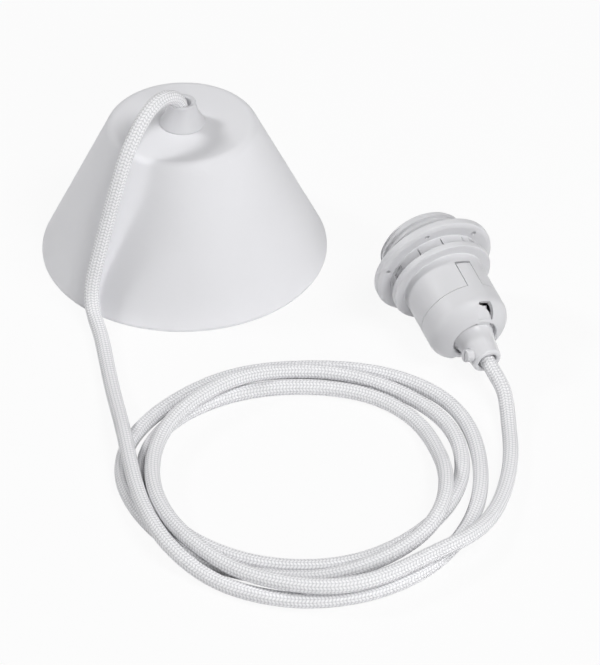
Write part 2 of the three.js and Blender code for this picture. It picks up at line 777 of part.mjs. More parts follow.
// Route of the cord's middle line, measured from the cup's axis on the floor
const cordRoute = [
  [0, 0, 53], [0, 0, 60], [0, 0, 68], [0, 0, 77],
  [-0.6, -0.9, 82.3], [-2.4, -3.4, 86.9], [-5.6, -7.8, 90.7], [-9.6, -13, 92.6], [-13.4, -18.5, 92],
  [-17.1, -24.1, 89], [-20.8, -29.3, 83.7], [-24.3, -34, 77.6], [-29.2, -39.6, 62.6],
  [-33.5, -43.6, 47.4], [-37.6, -47.6, 32.2], [-40.8, -51, 19.5], [-42, -54.2, 11.4],
  [-40.8, -60.5, 5.7], [-37.5, -72, 3.6],
  [-34.5, -86, 3.6], [-31.5, -108, 3.6], [-28.9, -125, 5.5], [-25.6, -140, 9.3], [-23.2, -156, 10.9],
  [-21, -170, 10], [-19.2, -181, 9.6], [-17.3, -193, 10.4], [-13.3, -208.5, 10.9], [-5.9, -224.6, 9.8],
  [0, -232.2, 8.2], [9, -240.1, 5], [18.1, -247, 3.6], [27.8, -252.8, 3.6],
  [40, -257, 3.6], [54.5, -259.8, 3.6], [72, -258.2, 3.6], [86, -254.3, 3.6], [97.2, -248.2, 3.6],
  [107, -240.7, 3.6], [115.3, -231.8, 3.6], [124.3, -217.5, 3.6], [130.6, -202, 3.6], [133.8, -186, 3.6],
  [134.5, -171, 3.6], [133.4, -156, 3.6], [130, -140.5, 3.6], [124.5, -127.5, 3.6], [117.5, -118.5, 3.6],
  [110, -112, 3.6], [101, -106.4, 3.6], [90.5, -102, 3.6], [78.5, -99.3, 3.6], [67, -98.3, 3.6],
  [55.5, -98.3, 3.6], [43.5, -99.2, 3.6], [32, -101.3, 3.6], [20.5, -105.6, 3.6], [9.5, -112.6, 3.6],
  [-1.5, -122.3, 3.6], [-11.5, -133.5, 3.6], [-19.5, -147, 3.6], [-23.8, -159.5, 3.6],
  [-24.7, -172, 3.6], [-22.5, -185.4, 3.6], [-17.1, -198.5, 3.6], [-9.2, -211.8, 3.6], [0.5, -223.3, 3.6],
  [11.5, -232.6, 3.6], [25, -239.6, 3.6], [39.5, -243.9, 3.6], [54.5, -245.4, 3.6],
  [70, -244.3, 4.5], [85.5, -239.2, 7.3], [95.5, -233, 7.6], [104.5, -225.8, 8.6], [111.5, -217, 9.8],
  [116.5, -206.3, 10.8], [118.6, -193, 10.8], [118.5, -178.3, 9.4], [116, -162.3, 5.5],
  [112, -147, 3.7], [106.2, -135.8, 3.6], [98.5, -127, 3.6], [89.5, -120, 3.6], [78.5, -115.3, 3.6],
  [66.5, -112.8, 3.6], [55, -112.2, 3.6], [43.5, -112.7, 3.6], [32, -115, 3.6], [20.5, -119.4, 3.6],
  [9.5, -126, 3.6], [-0.5, -134.5, 3.6], [-8, -144.5, 3.6], [-13, -155.5, 3.6], [-15.2, -166, 3.6],
  [-14.8, -176.5, 3.6], [-12.3, -188, 3.6], [-7, -200.6, 3.6], [0.6, -212, 3.6], [11, -222, 3.6],
  [25, -231, 3.6], [40, -236.3, 3.6], [56, -238, 3.6], [69, -236.9, 3.6], [81, -233.3, 3.6],
  [91.5, -227.6, 3.6], [100, -221, 3.6], [108.2, -213, 3.6], [115.5, -203.2, 3.6], [121.4, -192.2, 3.6],
  [125.5, -180, 3.6], [126.8, -168, 3.6], [125.8, -155, 3.6], [122.3, -142.2, 3.6],
  [115.6, -131.2, 3.6], [106.6, -121.8, 3.6], [96.5, -114.2, 3.9], [83, -108.3, 5.4],
  [67.5, -105.5, 6.9], [55.5, -105.2, 7], [43.5, -106.3, 7.6], [34, -109.8, 9.4], [25, -115.3, 10.9],
  [16.5, -121.8, 10.9], [8.6, -129, 10.9], [1.6, -137, 10.5], [-4.3, -146.3, 9.9], [-8.1, -156, 9.4],
  [-10.1, -166.3, 9.3], [-10.8, -176.5, 9.6], [-10.3, -187, 10.3], [-8.3, -198.3, 10.9],
  [-3.2, -212.2, 10.9], [3.8, -223.8, 10.9], [13, -234.3, 10.8], [22.4, -243.3, 9.9], [33.5, -250.6, 10.3],
  [45.5, -255.6, 10.8], [57, -258.4, 10.9], [69, -259, 10.9], [81, -256.5, 10.9], [93, -250.5, 10.9],
  [104.5, -242.2, 10.9], [114.8, -234, 10.8], [124.8, -227, 10.1], [134.2, -214, 7.2],
  [140.8, -198.3, 4.4], [145, -183, 3.6], [147.2, -170, 3.6], [148.1, -157, 3.6], [147.9, -144, 3.7],
  [147.4, -132.5, 5.7], [146.4, -122, 9.1], [144.3, -117.4, 10.5], [139.6, -107, 13.3], [133.3, -92.6, 17.1],
];

// The cord in three stretches: short steps at its two bends out of the pieces, long ones on the floor
function pendantCord() {
  const whole = smoothCurve(cordRoute);
  whole.arcLengthDivisions = 4000;
  const end = whole.getLength();
  const stretches = [
    [0, tightStart, tightStep],
    [tightStart - lap, end - tightEnd + lap, looseStep],
    [end - tightEnd, end, landingStep],
  ];
  const bars = stretches.map(([from, to, step]) => {
    const steps = Math.round((to - from) / step);
    return bar(new Stretch(whole, from, to), cordRadius, cordSides, steps);
  });
  return bars[0].add(bars[1]).add(bars[2]);
}

// How far a turned piece reaches below its axis when the axis leans by an angle
function reachBelow(piece, lean) {
  const mesh = piece.getMesh();
  let lowest = 0;
  for (let i = 0; i < mesh.vertProperties.length; i += 3) {
    const radius = Math.hypot(mesh.vertProperties[i], mesh.vertProperties[i + 1]);
    const along = mesh.vertProperties[i + 2];
    lowest = Math.max(lowest, radius * Math.cos(lean) + along * Math.sin(lean));
  }
  return lowest;
}

// The lean at which the shade ring and the cap both touch the floor, found by halving
function restingLean(ring, cap) {
  let low = 0;
  let high = Math.PI / 4;
  for (let round = 0; round < 40; round += 1) {
    const middle = (low + high) / 2;
    if (reachBelow(ring, middle) > reachBelow(cap, middle)) low = middle;
    else high = middle;
  }
  return (low + high) / 2;
}

const ringSolid = shadeRing();
const capSolid = holderCap();
const lean = restingLean(ringSolid, capSolid);

const holder = new THREE.Group();
holder.rotation.set(Math.PI / 2 + lean, 0, THREE.MathUtils.degToRad(holderHeading), 'ZYX');
holder.position.set(holderX, holderY, reachBelow(ringSolid, lean));

const cup = new THREE.Group();
const assembly = new THREE.Group();
assembly.add(cup, holder);
group.add(assembly);

addPiece(cup, 'ceiling_cup', ceilingCup(), matteWhite);
addPiece(cup, 'cup_cord_grip', cupGrip(), matteWhite);
addPiece(cup, 'cup_grip_nut', gripNut(), matteWhite);
addPiece(cup, 'cord_hook', cordHook(), matteWhite);
addPiece(cup, 'cord_hook_screw', hookScrew(), steel);
addPiece(cup, 'terminal_block', terminalBlock(), insulator);
addPiece(cup, 'cup_core_live', cupCore(-1), brownCore);
addPiece(cup, 'cup_core_neutral', cupCore(1), blueCore);
let screwNumber = 1;
for (const x of [-poleSpacing / 2, poleSpacing / 2]) {
  for (const z of screwHeights()) {
    addPiece(cup, `terminal_screw_${screwNumber}`, blockScrew(x, z), steel);
    screwNumber += 1;
  }
}

addPiece(holder, 'threaded_sleeve', threadedSleeve(), glossWhite);
addPiece(holder, 'shade_ring', ringSolid, glossWhite);
addPiece(holder, 'holder_cap', capSolid, glossWhite);
addPiece(holder, 'cord_gland', cordGland(), glossWhite);
addPiece(holder, 'gland_clamp_screw', clampScrew(), glossWhite);
addPiece(holder, 'screw_shell', screwShell(), brass);
addPiece(holder, 'contact_block', contactBlock(), insulator);
addPiece(holder, 'centre_contact', centreContact(), brass);
addPiece(holder, 'side_contact', sideContact(), brass);
addPiece(holder, 'holder_terminal_live', holderTerminal(-terminalPlace), brass);
addPiece(holder, 'holder_terminal_neutral', holderTerminal(terminalPlace), brass);
addPiece(holder, 'holder_core_live', holderCore(-1), brownCore);
addPiece(holder, 'holder_core_neutral', holderCore(1), blueCore);

// The origin is under the middle of the cup and the lampholder, on the floor
assembly.updateMatrixWorld(true);
const extent = new THREE.Box3().setFromObject(assembly, true);
const middle = extent.getCenter(new THREE.Vector3());
addPiece(assembly, 'pendant_cord', pendantCord(), braidWhite);
assembly.position.set(-middle.x, -middle.y, 0);

export default group;
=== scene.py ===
"""Pendant cord set on a pale studio floor: a conical ceiling cup, a braided cord laid in loops and a
screw lampholder that lies on its side."""

import bmesh
import bpy
import numpy as np
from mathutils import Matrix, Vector


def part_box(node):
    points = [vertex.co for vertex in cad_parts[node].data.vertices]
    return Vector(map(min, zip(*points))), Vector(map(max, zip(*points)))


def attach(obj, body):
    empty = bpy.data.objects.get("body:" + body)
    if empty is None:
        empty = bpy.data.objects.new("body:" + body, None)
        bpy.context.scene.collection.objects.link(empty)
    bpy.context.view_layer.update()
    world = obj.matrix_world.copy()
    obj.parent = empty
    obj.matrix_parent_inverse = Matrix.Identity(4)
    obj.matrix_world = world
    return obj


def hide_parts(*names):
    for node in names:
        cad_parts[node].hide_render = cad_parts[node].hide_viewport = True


MM = 0.001
TAU = 2 * np.pi
CREASE = np.radians(38)

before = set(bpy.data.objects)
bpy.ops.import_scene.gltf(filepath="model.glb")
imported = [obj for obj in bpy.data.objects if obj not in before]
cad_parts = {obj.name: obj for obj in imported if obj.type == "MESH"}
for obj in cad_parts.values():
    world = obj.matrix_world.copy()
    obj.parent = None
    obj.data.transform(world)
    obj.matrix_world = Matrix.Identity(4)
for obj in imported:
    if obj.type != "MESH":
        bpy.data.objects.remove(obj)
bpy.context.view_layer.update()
cup_low, cup_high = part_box("ceiling_cup")
CUP_AXIS = np.array([(cup_low[0] + cup_high[0]) / 2, (cup_low[1] + cup_high[1]) / 2, 0.0])

# Where the lampholder lies: heading about the upright, lean towards its tail, its middle from the cup's axis
HOLDER_HEADING = np.radians(23.86)
HOLDER_LEAN = np.radians(14.0916)
HOLDER_PLACE = CUP_AXIS + np.array([116.8, -55.3, 27.31]) * MM


def holder_matrix():
    """Columns are the lampholder's own X, Y and its axis from mouth to cord, as the row frame sees them."""
    c, s = np.cos(HOLDER_HEADING), np.sin(HOLDER_HEADING)
    up, along = np.cos(HOLDER_LEAN), np.sin(HOLDER_LEAN)
    return np.array([[c, s * along, s * up], [s, -c * along, -c * up], [0.0, up, -along]])


HOLDER_TURN = holder_matrix()


def in_cup(points):
    """Points in millimetres about the cup's axis, as metres in the row frame."""
    return np.asarray(points) * MM + CUP_AXIS


def in_holder(points):
    """Points in millimetres along the lampholder's own axes, as metres in the row frame."""
    return np.asarray(points) @ HOLDER_TURN.T * MM + HOLDER_PLACE


# Camera

PHOTO_WIDTH = 600
PHOTO_FOCAL = 4340
CAMERA_DISTANCE = 2.0
CAMERA_RISE = np.radians(37.5)
CAMERA_TARGET = CUP_AXIS + np.array([54.5, -67.3, 0.0]) * MM
SENSOR_WIDTH = 36.0


def place_camera():
    """A long lens at the photograph's height, looking along +Y at a point on the floor before the cup."""
    away = np.array([0.0, -np.cos(CAMERA_RISE), np.sin(CAMERA_RISE)])
    data = bpy.data.cameras.new("studio_camera")
    data.sensor_fit = "HORIZONTAL"
    data.sensor_width = SENSOR_WIDTH
    data.lens = SENSOR_WIDTH * PHOTO_FOCAL / PHOTO_WIDTH
    data.clip_end = 20.0
    camera = bpy.data.objects.new("studio_camera", data)
    camera.location = Vector(CAMERA_TARGET + away * CAMERA_DISTANCE)
    camera.rotation_euler = (np.pi / 2 - CAMERA_RISE, 0.0, 0.0)
    bpy.context.collection.objects.link(camera)
    bpy.context.scene.camera = camera


place_camera()


# Surfaces on grids

def grid_faces(rows, columns, closed_rows=False, closed_columns=True):
    """Quads between neighbouring points of a rows by columns grid, as an array of four indices."""
    i = np.arange(rows if closed_rows else rows - 1)
    j = np.arange(columns if closed_columns else columns - 1)
    i, j = np.meshgrid(i, j, indexing="ij")
    below, right = (i + 1) % rows, (j + 1) % columns
    corners = [i * columns + j, i * columns + right, below * columns + right, below * columns + j]
    return np.stack(corners, axis=-1).reshape(-1, 4)


def mesh_object(name, points, faces, material, uv=None):
    """A mesh object at the origin from point and quad arrays; uv has one pair for each face corner."""
    mesh = bpy.data.meshes.new(name)
    points = np.asarray(points, dtype=np.float32).reshape(-1, 3)
    faces = np.asarray(faces, dtype=np.int32)
    mesh.vertices.add(len(points))
    mesh.vertices.foreach_set("co", points.ravel())
    mesh.loops.add(faces.size)
    mesh.loops.foreach_set("vertex_index", faces.ravel())
    mesh.polygons.add(len(faces))
    mesh.polygons.foreach_set("loop_start", np.arange(0, faces.size, faces.shape[1], dtype=np.int32))
    mesh.polygons.foreach_set("use_smooth", np.ones(len(faces), dtype=bool))
    if uv is not None:
        layer = mesh.uv_layers.new(name="along_and_around")
        layer.data.foreach_set("uv", np.asarray(uv, dtype=np.float32).ravel())
    mesh.materials.append(material)
    mesh.update(calc_edges=True)
    mesh.validate()
    mesh.set_sharp_from_angle(angle=CREASE)
    piece = bpy.data.objects.new(name, mesh)
    bpy.context.collection.objects.link(piece)
    return piece


def rounded_outline(corners, closed=True, hold=0.12, steps=6):
    """A polyline through corners (across, along, radius): each radius becomes an arc of that radius, with
    a point held a little before and after it so that the flats beside it shade flat."""
    count = len(corners)
    out = []
    for k, corner in enumerate(corners):
        here = np.array(corner[:2], dtype=float)
        radius = corner[2] if len(corner) > 2 else 0.0
        ends = not closed and k in (0, count - 1)
        if radius == 0 or ends:
            out.append(here)
            continue
        back = np.array(corners[k - 1][:2]) - here
        ahead = np.array(corners[(k + 1) % count][:2]) - here
        back_length, ahead_length = np.hypot(*back), np.hypot(*ahead)
        back, ahead = back / back_length, ahead / ahead_length
        half = np.arccos(np.clip(back @ ahead, -1, 1)) / 2
        middle = (back + ahead) / np.hypot(*(back + ahead))
        reach = radius / np.tan(half)
        centre = here + middle * radius / np.sin(half)
        start, end = here + back * reach, here + ahead * reach
        if reach + 2 * hold < back_length:
            out.append(start + back * hold)
        a0 = np.arctan2(*(start - centre)[::-1])
        turn = np.arctan2(*(end - centre)[::-1]) - a0
        turn = (turn + np.pi) % TAU - np.pi
        for t in np.linspace(0, 1, steps + 1):
            out.append(centre + radius * np.array([np.cos(a0 + turn * t), np.sin(a0 + turn * t)]))
        if reach + 2 * hold < ahead_length:
            out.append(end + ahead * hold)
    return np.array(out)


def round_grid(radius, along, angles):
    """Grid of points from each one's radius, place along Z and angle about Z."""
    radius, along, angles = np.broadcast_arrays(radius, along, angles)
    return np.stack([radius * np.cos(angles), radius * np.sin(angles), along], axis=-1)


def settle(piece):
    """Merges doubled points and turns every face outwards."""
    mesh = bmesh.new()
    mesh.from_mesh(piece.data)
    bmesh.ops.remove_doubles(mesh, verts=mesh.verts, dist=1e-7)
    bmesh.ops.recalc_face_normals(mesh, faces=mesh.faces)
    mesh.to_mesh(piece.data)
    mesh.free()
    piece.data.set_sharp_from_angle(angle=CREASE)


def turned_piece(name, outline, place, material, sides):
    """A closed outline of (radius, along), counter-clockwise, turned about Z into one closed surface."""
    angles = np.linspace(0, TAU, sides, endpoint=False)
    points = round_grid(outline[:, :1], outline[:, 1:], angles)
    faces = grid_faces(len(outline), sides, closed_rows=True)
    return mesh_object(name, place(points.reshape(-1, 3)), faces, material)


def with_edges(count, edges, gap):
    """Evenly spread angles round a circle, with a close pair of extra ones at each edge."""
    even = np.linspace(0, TAU, count, endpoint=False)
    edges = np.asarray(edges) % TAU
    pairs = np.concatenate([edges - gap, edges + gap]) % TAU
    apart = np.abs((even[:, None] - edges[None, :] + np.pi) % TAU - np.pi).min(axis=1)
    even = even[apart > 1.5 * gap + 0.2 * TAU / count]
    return np.sort(np.concatenate([even, pairs]))


def from_turn(angles, turn_degrees):
    """Signed angle from a direction, in radians, between minus pi and pi."""
    return (angles - np.radians(turn_degrees) + np.pi) % TAU - np.pi


def step_up(x, low, high):
    """Smooth rise from 0 at low to 1 at high."""
    t = np.clip((x - low) / (high - low), 0, 1)
    return t * t * (3 - 2 * t)


def dress(piece, node):
    """The piece stands for a CAD node and moves with it."""
    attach(piece, "root")
    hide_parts(node)


# Finishes

def finish_nodes(name):
    """A new material with its node tree, its shader and the object coordinates."""
    material = bpy.data.materials.new(name)
    material.use_nodes = True
    tree = material.node_tree
    shader = tree.nodes["Principled BSDF"]
    coordinates = tree.nodes.new("ShaderNodeTexCoord")
    return material, tree, shader, coordinates.outputs["Object"]


def noise(tree, vector, scale, detail=2.0, roughness=0.5):
    """Soft random cloud of the given fineness, as a value."""
    node = tree.nodes.new("ShaderNodeTexNoise")
    node.inputs["Scale"].default_value = scale
    node.inputs["Detail"].default_value = detail
    node.inputs["Roughness"].default_value = roughness
    tree.links.new(vector, node.inputs["Vector"])
    return node.outputs["Fac"]


def spread(tree, value, low, high, from_low=0.3, from_high=0.7):
    """The value carried from one range to another."""
    node = tree.nodes.new("ShaderNodeMapRange")
    node.inputs["From Min"].default_value = from_low
    node.inputs["From Max"].default_value = from_high
    node.inputs["To Min"].default_value = low
    node.inputs["To Max"].default_value = high
    tree.links.new(value, node.inputs["Value"])
    return node.outputs["Result"]


def blend_colours(tree, value, first, second):
    """The first colour where the value is 0, the second where it is 1."""
    node = tree.nodes.new("ShaderNodeMix")
    node.data_type = "RGBA"
    node.inputs["A"].default_value = (*first, 1.0)
    node.inputs["B"].default_value = (*second, 1.0)
    tree.links.new(value, node.inputs["Factor"])
    return node.outputs["Result"]


def sums(tree, operation, first, second=None, third=None):
    """One arithmetic step on sockets or numbers."""
    node = tree.nodes.new("ShaderNodeMath")
    node.operation = operation
    for socket, value in zip(node.inputs, (first, second, third)):
        if value is None:
            continue
        if isinstance(value, (int, float)):
            socket.default_value = value
        else:
            tree.links.new(value, socket)
    return node.outputs["Value"]


def bump(tree, shader, height, distance, strength=1.0):
    """The shader's surface tilted as if it rose by the height times the distance."""
    node = tree.nodes.new("ShaderNodeBump")
    node.inputs["Strength"].default_value = strength
    node.inputs["Distance"].default_value = distance
    tree.links.new(height, node.inputs["Height"])
    tree.links.new(node.outputs["Normal"], shader.inputs["Normal"])


FINE_GRAIN = 0.003 * MM
PLAIN_GRAIN = 0.01 * MM
COARSE_GRAIN = 0.02 * MM


def moulded(name, dark, light, rough, specular=0.5, grain=PLAIN_GRAIN):
    """Moulded plastic: a faint drift of tone, roughness that drifts between two values and a moulded grain
    of the given height."""
    material, tree, shader, place = finish_nodes(name)
    drift = noise(tree, place, 35.0, 3.0)
    colour = blend_colours(tree, spread(tree, drift, 0, 1), dark, light)
    tree.links.new(colour, shader.inputs["Base Color"])
    patch = noise(tree, place, 260.0, 4.0, 0.6)
    tree.links.new(spread(tree, patch, *rough), shader.inputs["Roughness"])
    shader.inputs["Specular IOR Level"].default_value = specular
    bump(tree, shader, noise(tree, place, 2600.0, 2.0), grain)
    return material


matt_white = moulded("matt_white", (0.79, 0.79, 0.812), (0.80, 0.80, 0.822), (0.52, 0.6), 0.35)
# Satin white for the cord grip: its base colour is set darker than the cup's white as painted shade, for the
# grip's steep sides that take less of the light from above.
shaded_satin_white = moulded("shaded_satin_white", (0.66, 0.66, 0.68), (0.675, 0.675, 0.695), (0.36, 0.42), 0.45,
                      FINE_GRAIN)
gloss_white = moulded("gloss_white", (0.69, 0.69, 0.708), (0.705, 0.705, 0.723), (0.42, 0.48), 0.34,
                      FINE_GRAIN)
polished_white = moulded("polished_white", (0.72, 0.72, 0.738), (0.735, 0.735, 0.753), (0.2, 0.24),
                         grain=FINE_GRAIN)
off_white = moulded("off_white", (0.66, 0.64, 0.58), (0.71, 0.69, 0.63), (0.45, 0.6), grain=COARSE_GRAIN)
brown_sheath = moulded("brown_sheath", (0.095, 0.036, 0.019), (0.12, 0.046, 0.024), (0.45, 0.6))
blue_sheath = moulded("blue_sheath", (0.022, 0.075, 0.24), (0.03, 0.095, 0.29), (0.45, 0.6))


def pressed_metal(name, dull, bright, rough):
    """Sheet or turned metal: brushed lines drawn out along the piece and faint tarnish in patches."""
    material, tree, shader, place = finish_nodes(name)
    mapping = tree.nodes.new("ShaderNodeMapping")
    mapping.inputs["Scale"].default_value = (1.0, 1.0, 14.0)
    tree.links.new(place, mapping.inputs["Vector"])
    lines = noise(tree, mapping.outputs["Vector"], 420.0, 3.0, 0.6)
    tarnish = noise(tree, place, 190.0, 4.0, 0.6)
    colour = blend_colours(tree, spread(tree, tarnish, 0, 1), dull, bright)
    tree.links.new(colour, shader.inputs["Base Color"])
    tree.links.new(spread(tree, lines, *rough), shader.inputs["Roughness"])
    shader.inputs["Metallic"].default_value = 1.0
    bump(tree, shader, lines, COARSE_GRAIN, 0.5)
    return material


yellow_brass = pressed_metal("yellow_brass", (0.55, 0.38, 0.15), (0.72, 0.53, 0.24), (0.22, 0.4))
plated_steel = pressed_metal("plated_steel", (0.52, 0.53, 0.54), (0.66, 0.67, 0.69), (0.25, 0.42))

# The braid: one pick's length along the cord, the chevrons round it, how far a pick runs on over half a
# chevron, in picks, and the relief of its bump
PICK = 1.55 * MM
CHEVRONS = 7
PICK_SLANT = 1.1
BRAID_RELIEF = 0.18 * MM


def braided_sleeve():
    """Woven textile: picks in columns of chevrons, read from the cord's own UV map (picks along, columns
    around). The height is a rounded rib for each pick, with fine strands on it. The colour is darker towards
    each pick's ends and along the seams between columns, as painted shade in the weave's gaps."""
    material, tree, shader, place = finish_nodes("braided_sleeve")
    uv = tree.nodes.new("ShaderNodeUVMap")
    uv.uv_map = "along_and_around"
    parts = tree.nodes.new("ShaderNodeSeparateXYZ")
    tree.links.new(uv.outputs["UV"], parts.inputs["Vector"])
    picks, columns = parts.outputs["X"], parts.outputs["Y"]
    across = sums(tree, "PINGPONG", columns, 0.5)
    slant = sums(tree, "MULTIPLY", across, PICK_SLANT)
    phase = sums(tree, "FRACT", sums(tree, "ADD", picks, slant))
    rib = sums(tree, "SINE", sums(tree, "MULTIPLY", phase, np.pi))
    rib = sums(tree, "POWER", sums(tree, "MAXIMUM", rib, 0.0), 0.9)
    seam = sums(tree, "MULTIPLY", across, sums(tree, "SUBTRACT", 0.5, across))
    seam = spread(tree, seam, 0.25, 1.0, 0.0, 0.045)
    strands = noise(tree, uv.outputs["UV"], 9.0, 3.0, 0.6)
    height = sums(tree, "MULTIPLY_ADD", strands, 0.35, sums(tree, "MULTIPLY", rib, seam))
    # Painted shade: the colour darkens towards each pick's ends and at the column seams, with a faint random
    # drift of tone on top.
    gap_shade_and_drift = sums(tree, "MULTIPLY", spread(tree, rib, 0.15, 1.0, 0.0, 0.9), seam)
    drift = spread(tree, noise(tree, place, 90.0, 3.0), 0.94, 1.0)
    gap_shade_and_drift = sums(tree, "MULTIPLY", gap_shade_and_drift, drift)
    colour = blend_colours(tree, gap_shade_and_drift, (0.57, 0.57, 0.59), (0.96, 0.96, 0.975))
    tree.links.new(colour, shader.inputs["Base Color"])
    shader.inputs["Roughness"].default_value = 0.85
    shader.inputs["Specular IOR Level"].default_value = 0.2
    shader.inputs["Sheen Weight"].default_value = 0.12
    bump(tree, shader, height, BRAID_RELIEF, 0.8)
    return material


cord_braid = braided_sleeve()


# The cord

CORD_RADIUS = 3.5 * MM
CORD_ROUTE = np.array([
    (0, 0, 0.053), (0, 0, 0.06), (0, 0, 0.068), (0, 0, 0.077), (-0.0006, -0.0009, 0.0823),
    (-0.0024, -0.0034, 0.0869), (-0.0056, -0.0078, 0.0907), (-0.0096, -0.013, 0.0926),
    (-0.0134, -0.0185, 0.092), (-0.0171, -0.0241, 0.089), (-0.0208, -0.0293, 0.0837),
    (-0.0243, -0.034, 0.0776), (-0.0292, -0.0396, 0.0626), (-0.0335, -0.0436, 0.0474),
    (-0.0376, -0.0476, 0.0322), (-0.0408, -0.051, 0.0195), (-0.042, -0.0542, 0.0114),
    (-0.0408, -0.0605, 0.0057), (-0.0375, -0.072, 0.0036), (-0.0345, -0.086, 0.0036),
    (-0.0315, -0.108, 0.0036), (-0.0289, -0.125, 0.0055), (-0.0256, -0.14, 0.0093),
    (-0.0232, -0.156, 0.0109), (-0.021, -0.17, 0.01), (-0.0192, -0.181, 0.0096), (-0.0173, -0.193, 0.0104),
    (-0.0133, -0.2085, 0.0109), (-0.0059, -0.2246, 0.0098), (0, -0.2322, 0.0082), (0.009, -0.2401, 0.005),
    (0.0181, -0.247, 0.0036), (0.0278, -0.2528, 0.0036), (0.04, -0.257, 0.0036), (0.0545, -0.2598, 0.0036),
    (0.072, -0.2582, 0.0036), (0.086, -0.2543, 0.0036), (0.0972, -0.2482, 0.0036), (0.107, -0.2407, 0.0036),
    (0.1153, -0.2318, 0.0036), (0.1243, -0.2175, 0.0036), (0.1306, -0.202, 0.0036),
    (0.1338, -0.186, 0.0036), (0.1345, -0.171, 0.0036), (0.1334, -0.156, 0.0036), (0.13, -0.1405, 0.0036),
    (0.1245, -0.1275, 0.0036), (0.1175, -0.1185, 0.0036), (0.11, -0.112, 0.0036), (0.101, -0.1064, 0.0036),
    (0.0905, -0.102, 0.0036), (0.0785, -0.0993, 0.0036), (0.067, -0.0983, 0.0036),
    (0.0555, -0.0983, 0.0036), (0.0435, -0.0992, 0.0036), (0.032, -0.1013, 0.0036),
    (0.0205, -0.1056, 0.0036), (0.0095, -0.1126, 0.0036), (-0.0015, -0.1223, 0.0036),
    (-0.0115, -0.1335, 0.0036), (-0.0195, -0.147, 0.0036), (-0.0238, -0.1595, 0.0036),
    (-0.0247, -0.172, 0.0036), (-0.0225, -0.1854, 0.0036), (-0.0171, -0.1985, 0.0036),
    (-0.0092, -0.2118, 0.0036), (0.0005, -0.2233, 0.0036), (0.0115, -0.2326, 0.0036),
    (0.025, -0.2396, 0.0036), (0.0395, -0.2439, 0.0036), (0.0545, -0.2454, 0.0036), (0.07, -0.2443, 0.0045),
    (0.0855, -0.2392, 0.0073), (0.0955, -0.233, 0.0076), (0.1045, -0.2258, 0.0086),
    (0.1115, -0.217, 0.0098), (0.1165, -0.2063, 0.0108), (0.1186, -0.193, 0.0108),
    (0.1185, -0.1783, 0.0094), (0.116, -0.1623, 0.0055), (0.112, -0.147, 0.0037), (0.1062, -0.1358, 0.0036),
    (0.0985, -0.127, 0.0036), (0.0895, -0.12, 0.0036), (0.0785, -0.1153, 0.0036), (0.0665, -0.1128, 0.0036),
    (0.055, -0.1122, 0.0036), (0.0435, -0.1127, 0.0036), (0.032, -0.115, 0.0036), (0.0205, -0.1194, 0.0036),
    (0.0095, -0.126, 0.0036), (-0.0005, -0.1345, 0.0036), (-0.008, -0.1445, 0.0036),
    (-0.013, -0.1555, 0.0036), (-0.0152, -0.166, 0.0036), (-0.0148, -0.1765, 0.0036),
    (-0.0123, -0.188, 0.0036), (-0.007, -0.2006, 0.0036), (0.0006, -0.212, 0.0036), (0.011, -0.222, 0.0036),
    (0.025, -0.231, 0.0036), (0.04, -0.2363, 0.0036), (0.056, -0.238, 0.0036), (0.069, -0.2369, 0.0036),
    (0.081, -0.2333, 0.0036), (0.0915, -0.2276, 0.0036), (0.1, -0.221, 0.0036), (0.1082, -0.213, 0.0036),
    (0.1155, -0.2032, 0.0036), (0.1214, -0.1922, 0.0036), (0.1255, -0.18, 0.0036), (0.1268, -0.168, 0.0036),
    (0.1258, -0.155, 0.0036), (0.1223, -0.1422, 0.0036), (0.1156, -0.1312, 0.0036),
    (0.1066, -0.1218, 0.0036), (0.0965, -0.1142, 0.0039), (0.083, -0.1083, 0.0054),
    (0.0675, -0.1055, 0.0069), (0.0555, -0.1052, 0.007), (0.0435, -0.1063, 0.0076),
    (0.034, -0.1098, 0.0094), (0.025, -0.1153, 0.0109), (0.0165, -0.1218, 0.0109), (0.0086, -0.129, 0.0109),
    (0.0016, -0.137, 0.0105), (-0.0043, -0.1463, 0.0099), (-0.0081, -0.156, 0.0094),
    (-0.0101, -0.1663, 0.0093), (-0.0108, -0.1765, 0.0096), (-0.0103, -0.187, 0.0103),
    (-0.0083, -0.1983, 0.0109), (-0.0032, -0.2122, 0.0109), (0.0038, -0.2238, 0.0109),
    (0.013, -0.2343, 0.0108), (0.0224, -0.2433, 0.0099), (0.0335, -0.2506, 0.0103),
    (0.0455, -0.2556, 0.0108), (0.057, -0.2584, 0.0109), (0.069, -0.259, 0.0109), (0.081, -0.2565, 0.0109),
    (0.093, -0.2505, 0.0109), (0.1045, -0.2422, 0.0109), (0.1148, -0.234, 0.0108), (0.1248, -0.227, 0.0101),
    (0.1342, -0.214, 0.0072), (0.1408, -0.1983, 0.0044), (0.145, -0.183, 0.0036), (0.1472, -0.17, 0.0036),
    (0.1481, -0.157, 0.0036), (0.1479, -0.144, 0.0037), (0.1474, -0.1325, 0.0057), (0.1464, -0.122, 0.0091),
    (0.1443, -0.1174, 0.0105), (0.1396, -0.107, 0.0133), (0.1333, -0.0926, 0.0171),
]) + CUP_AXIS


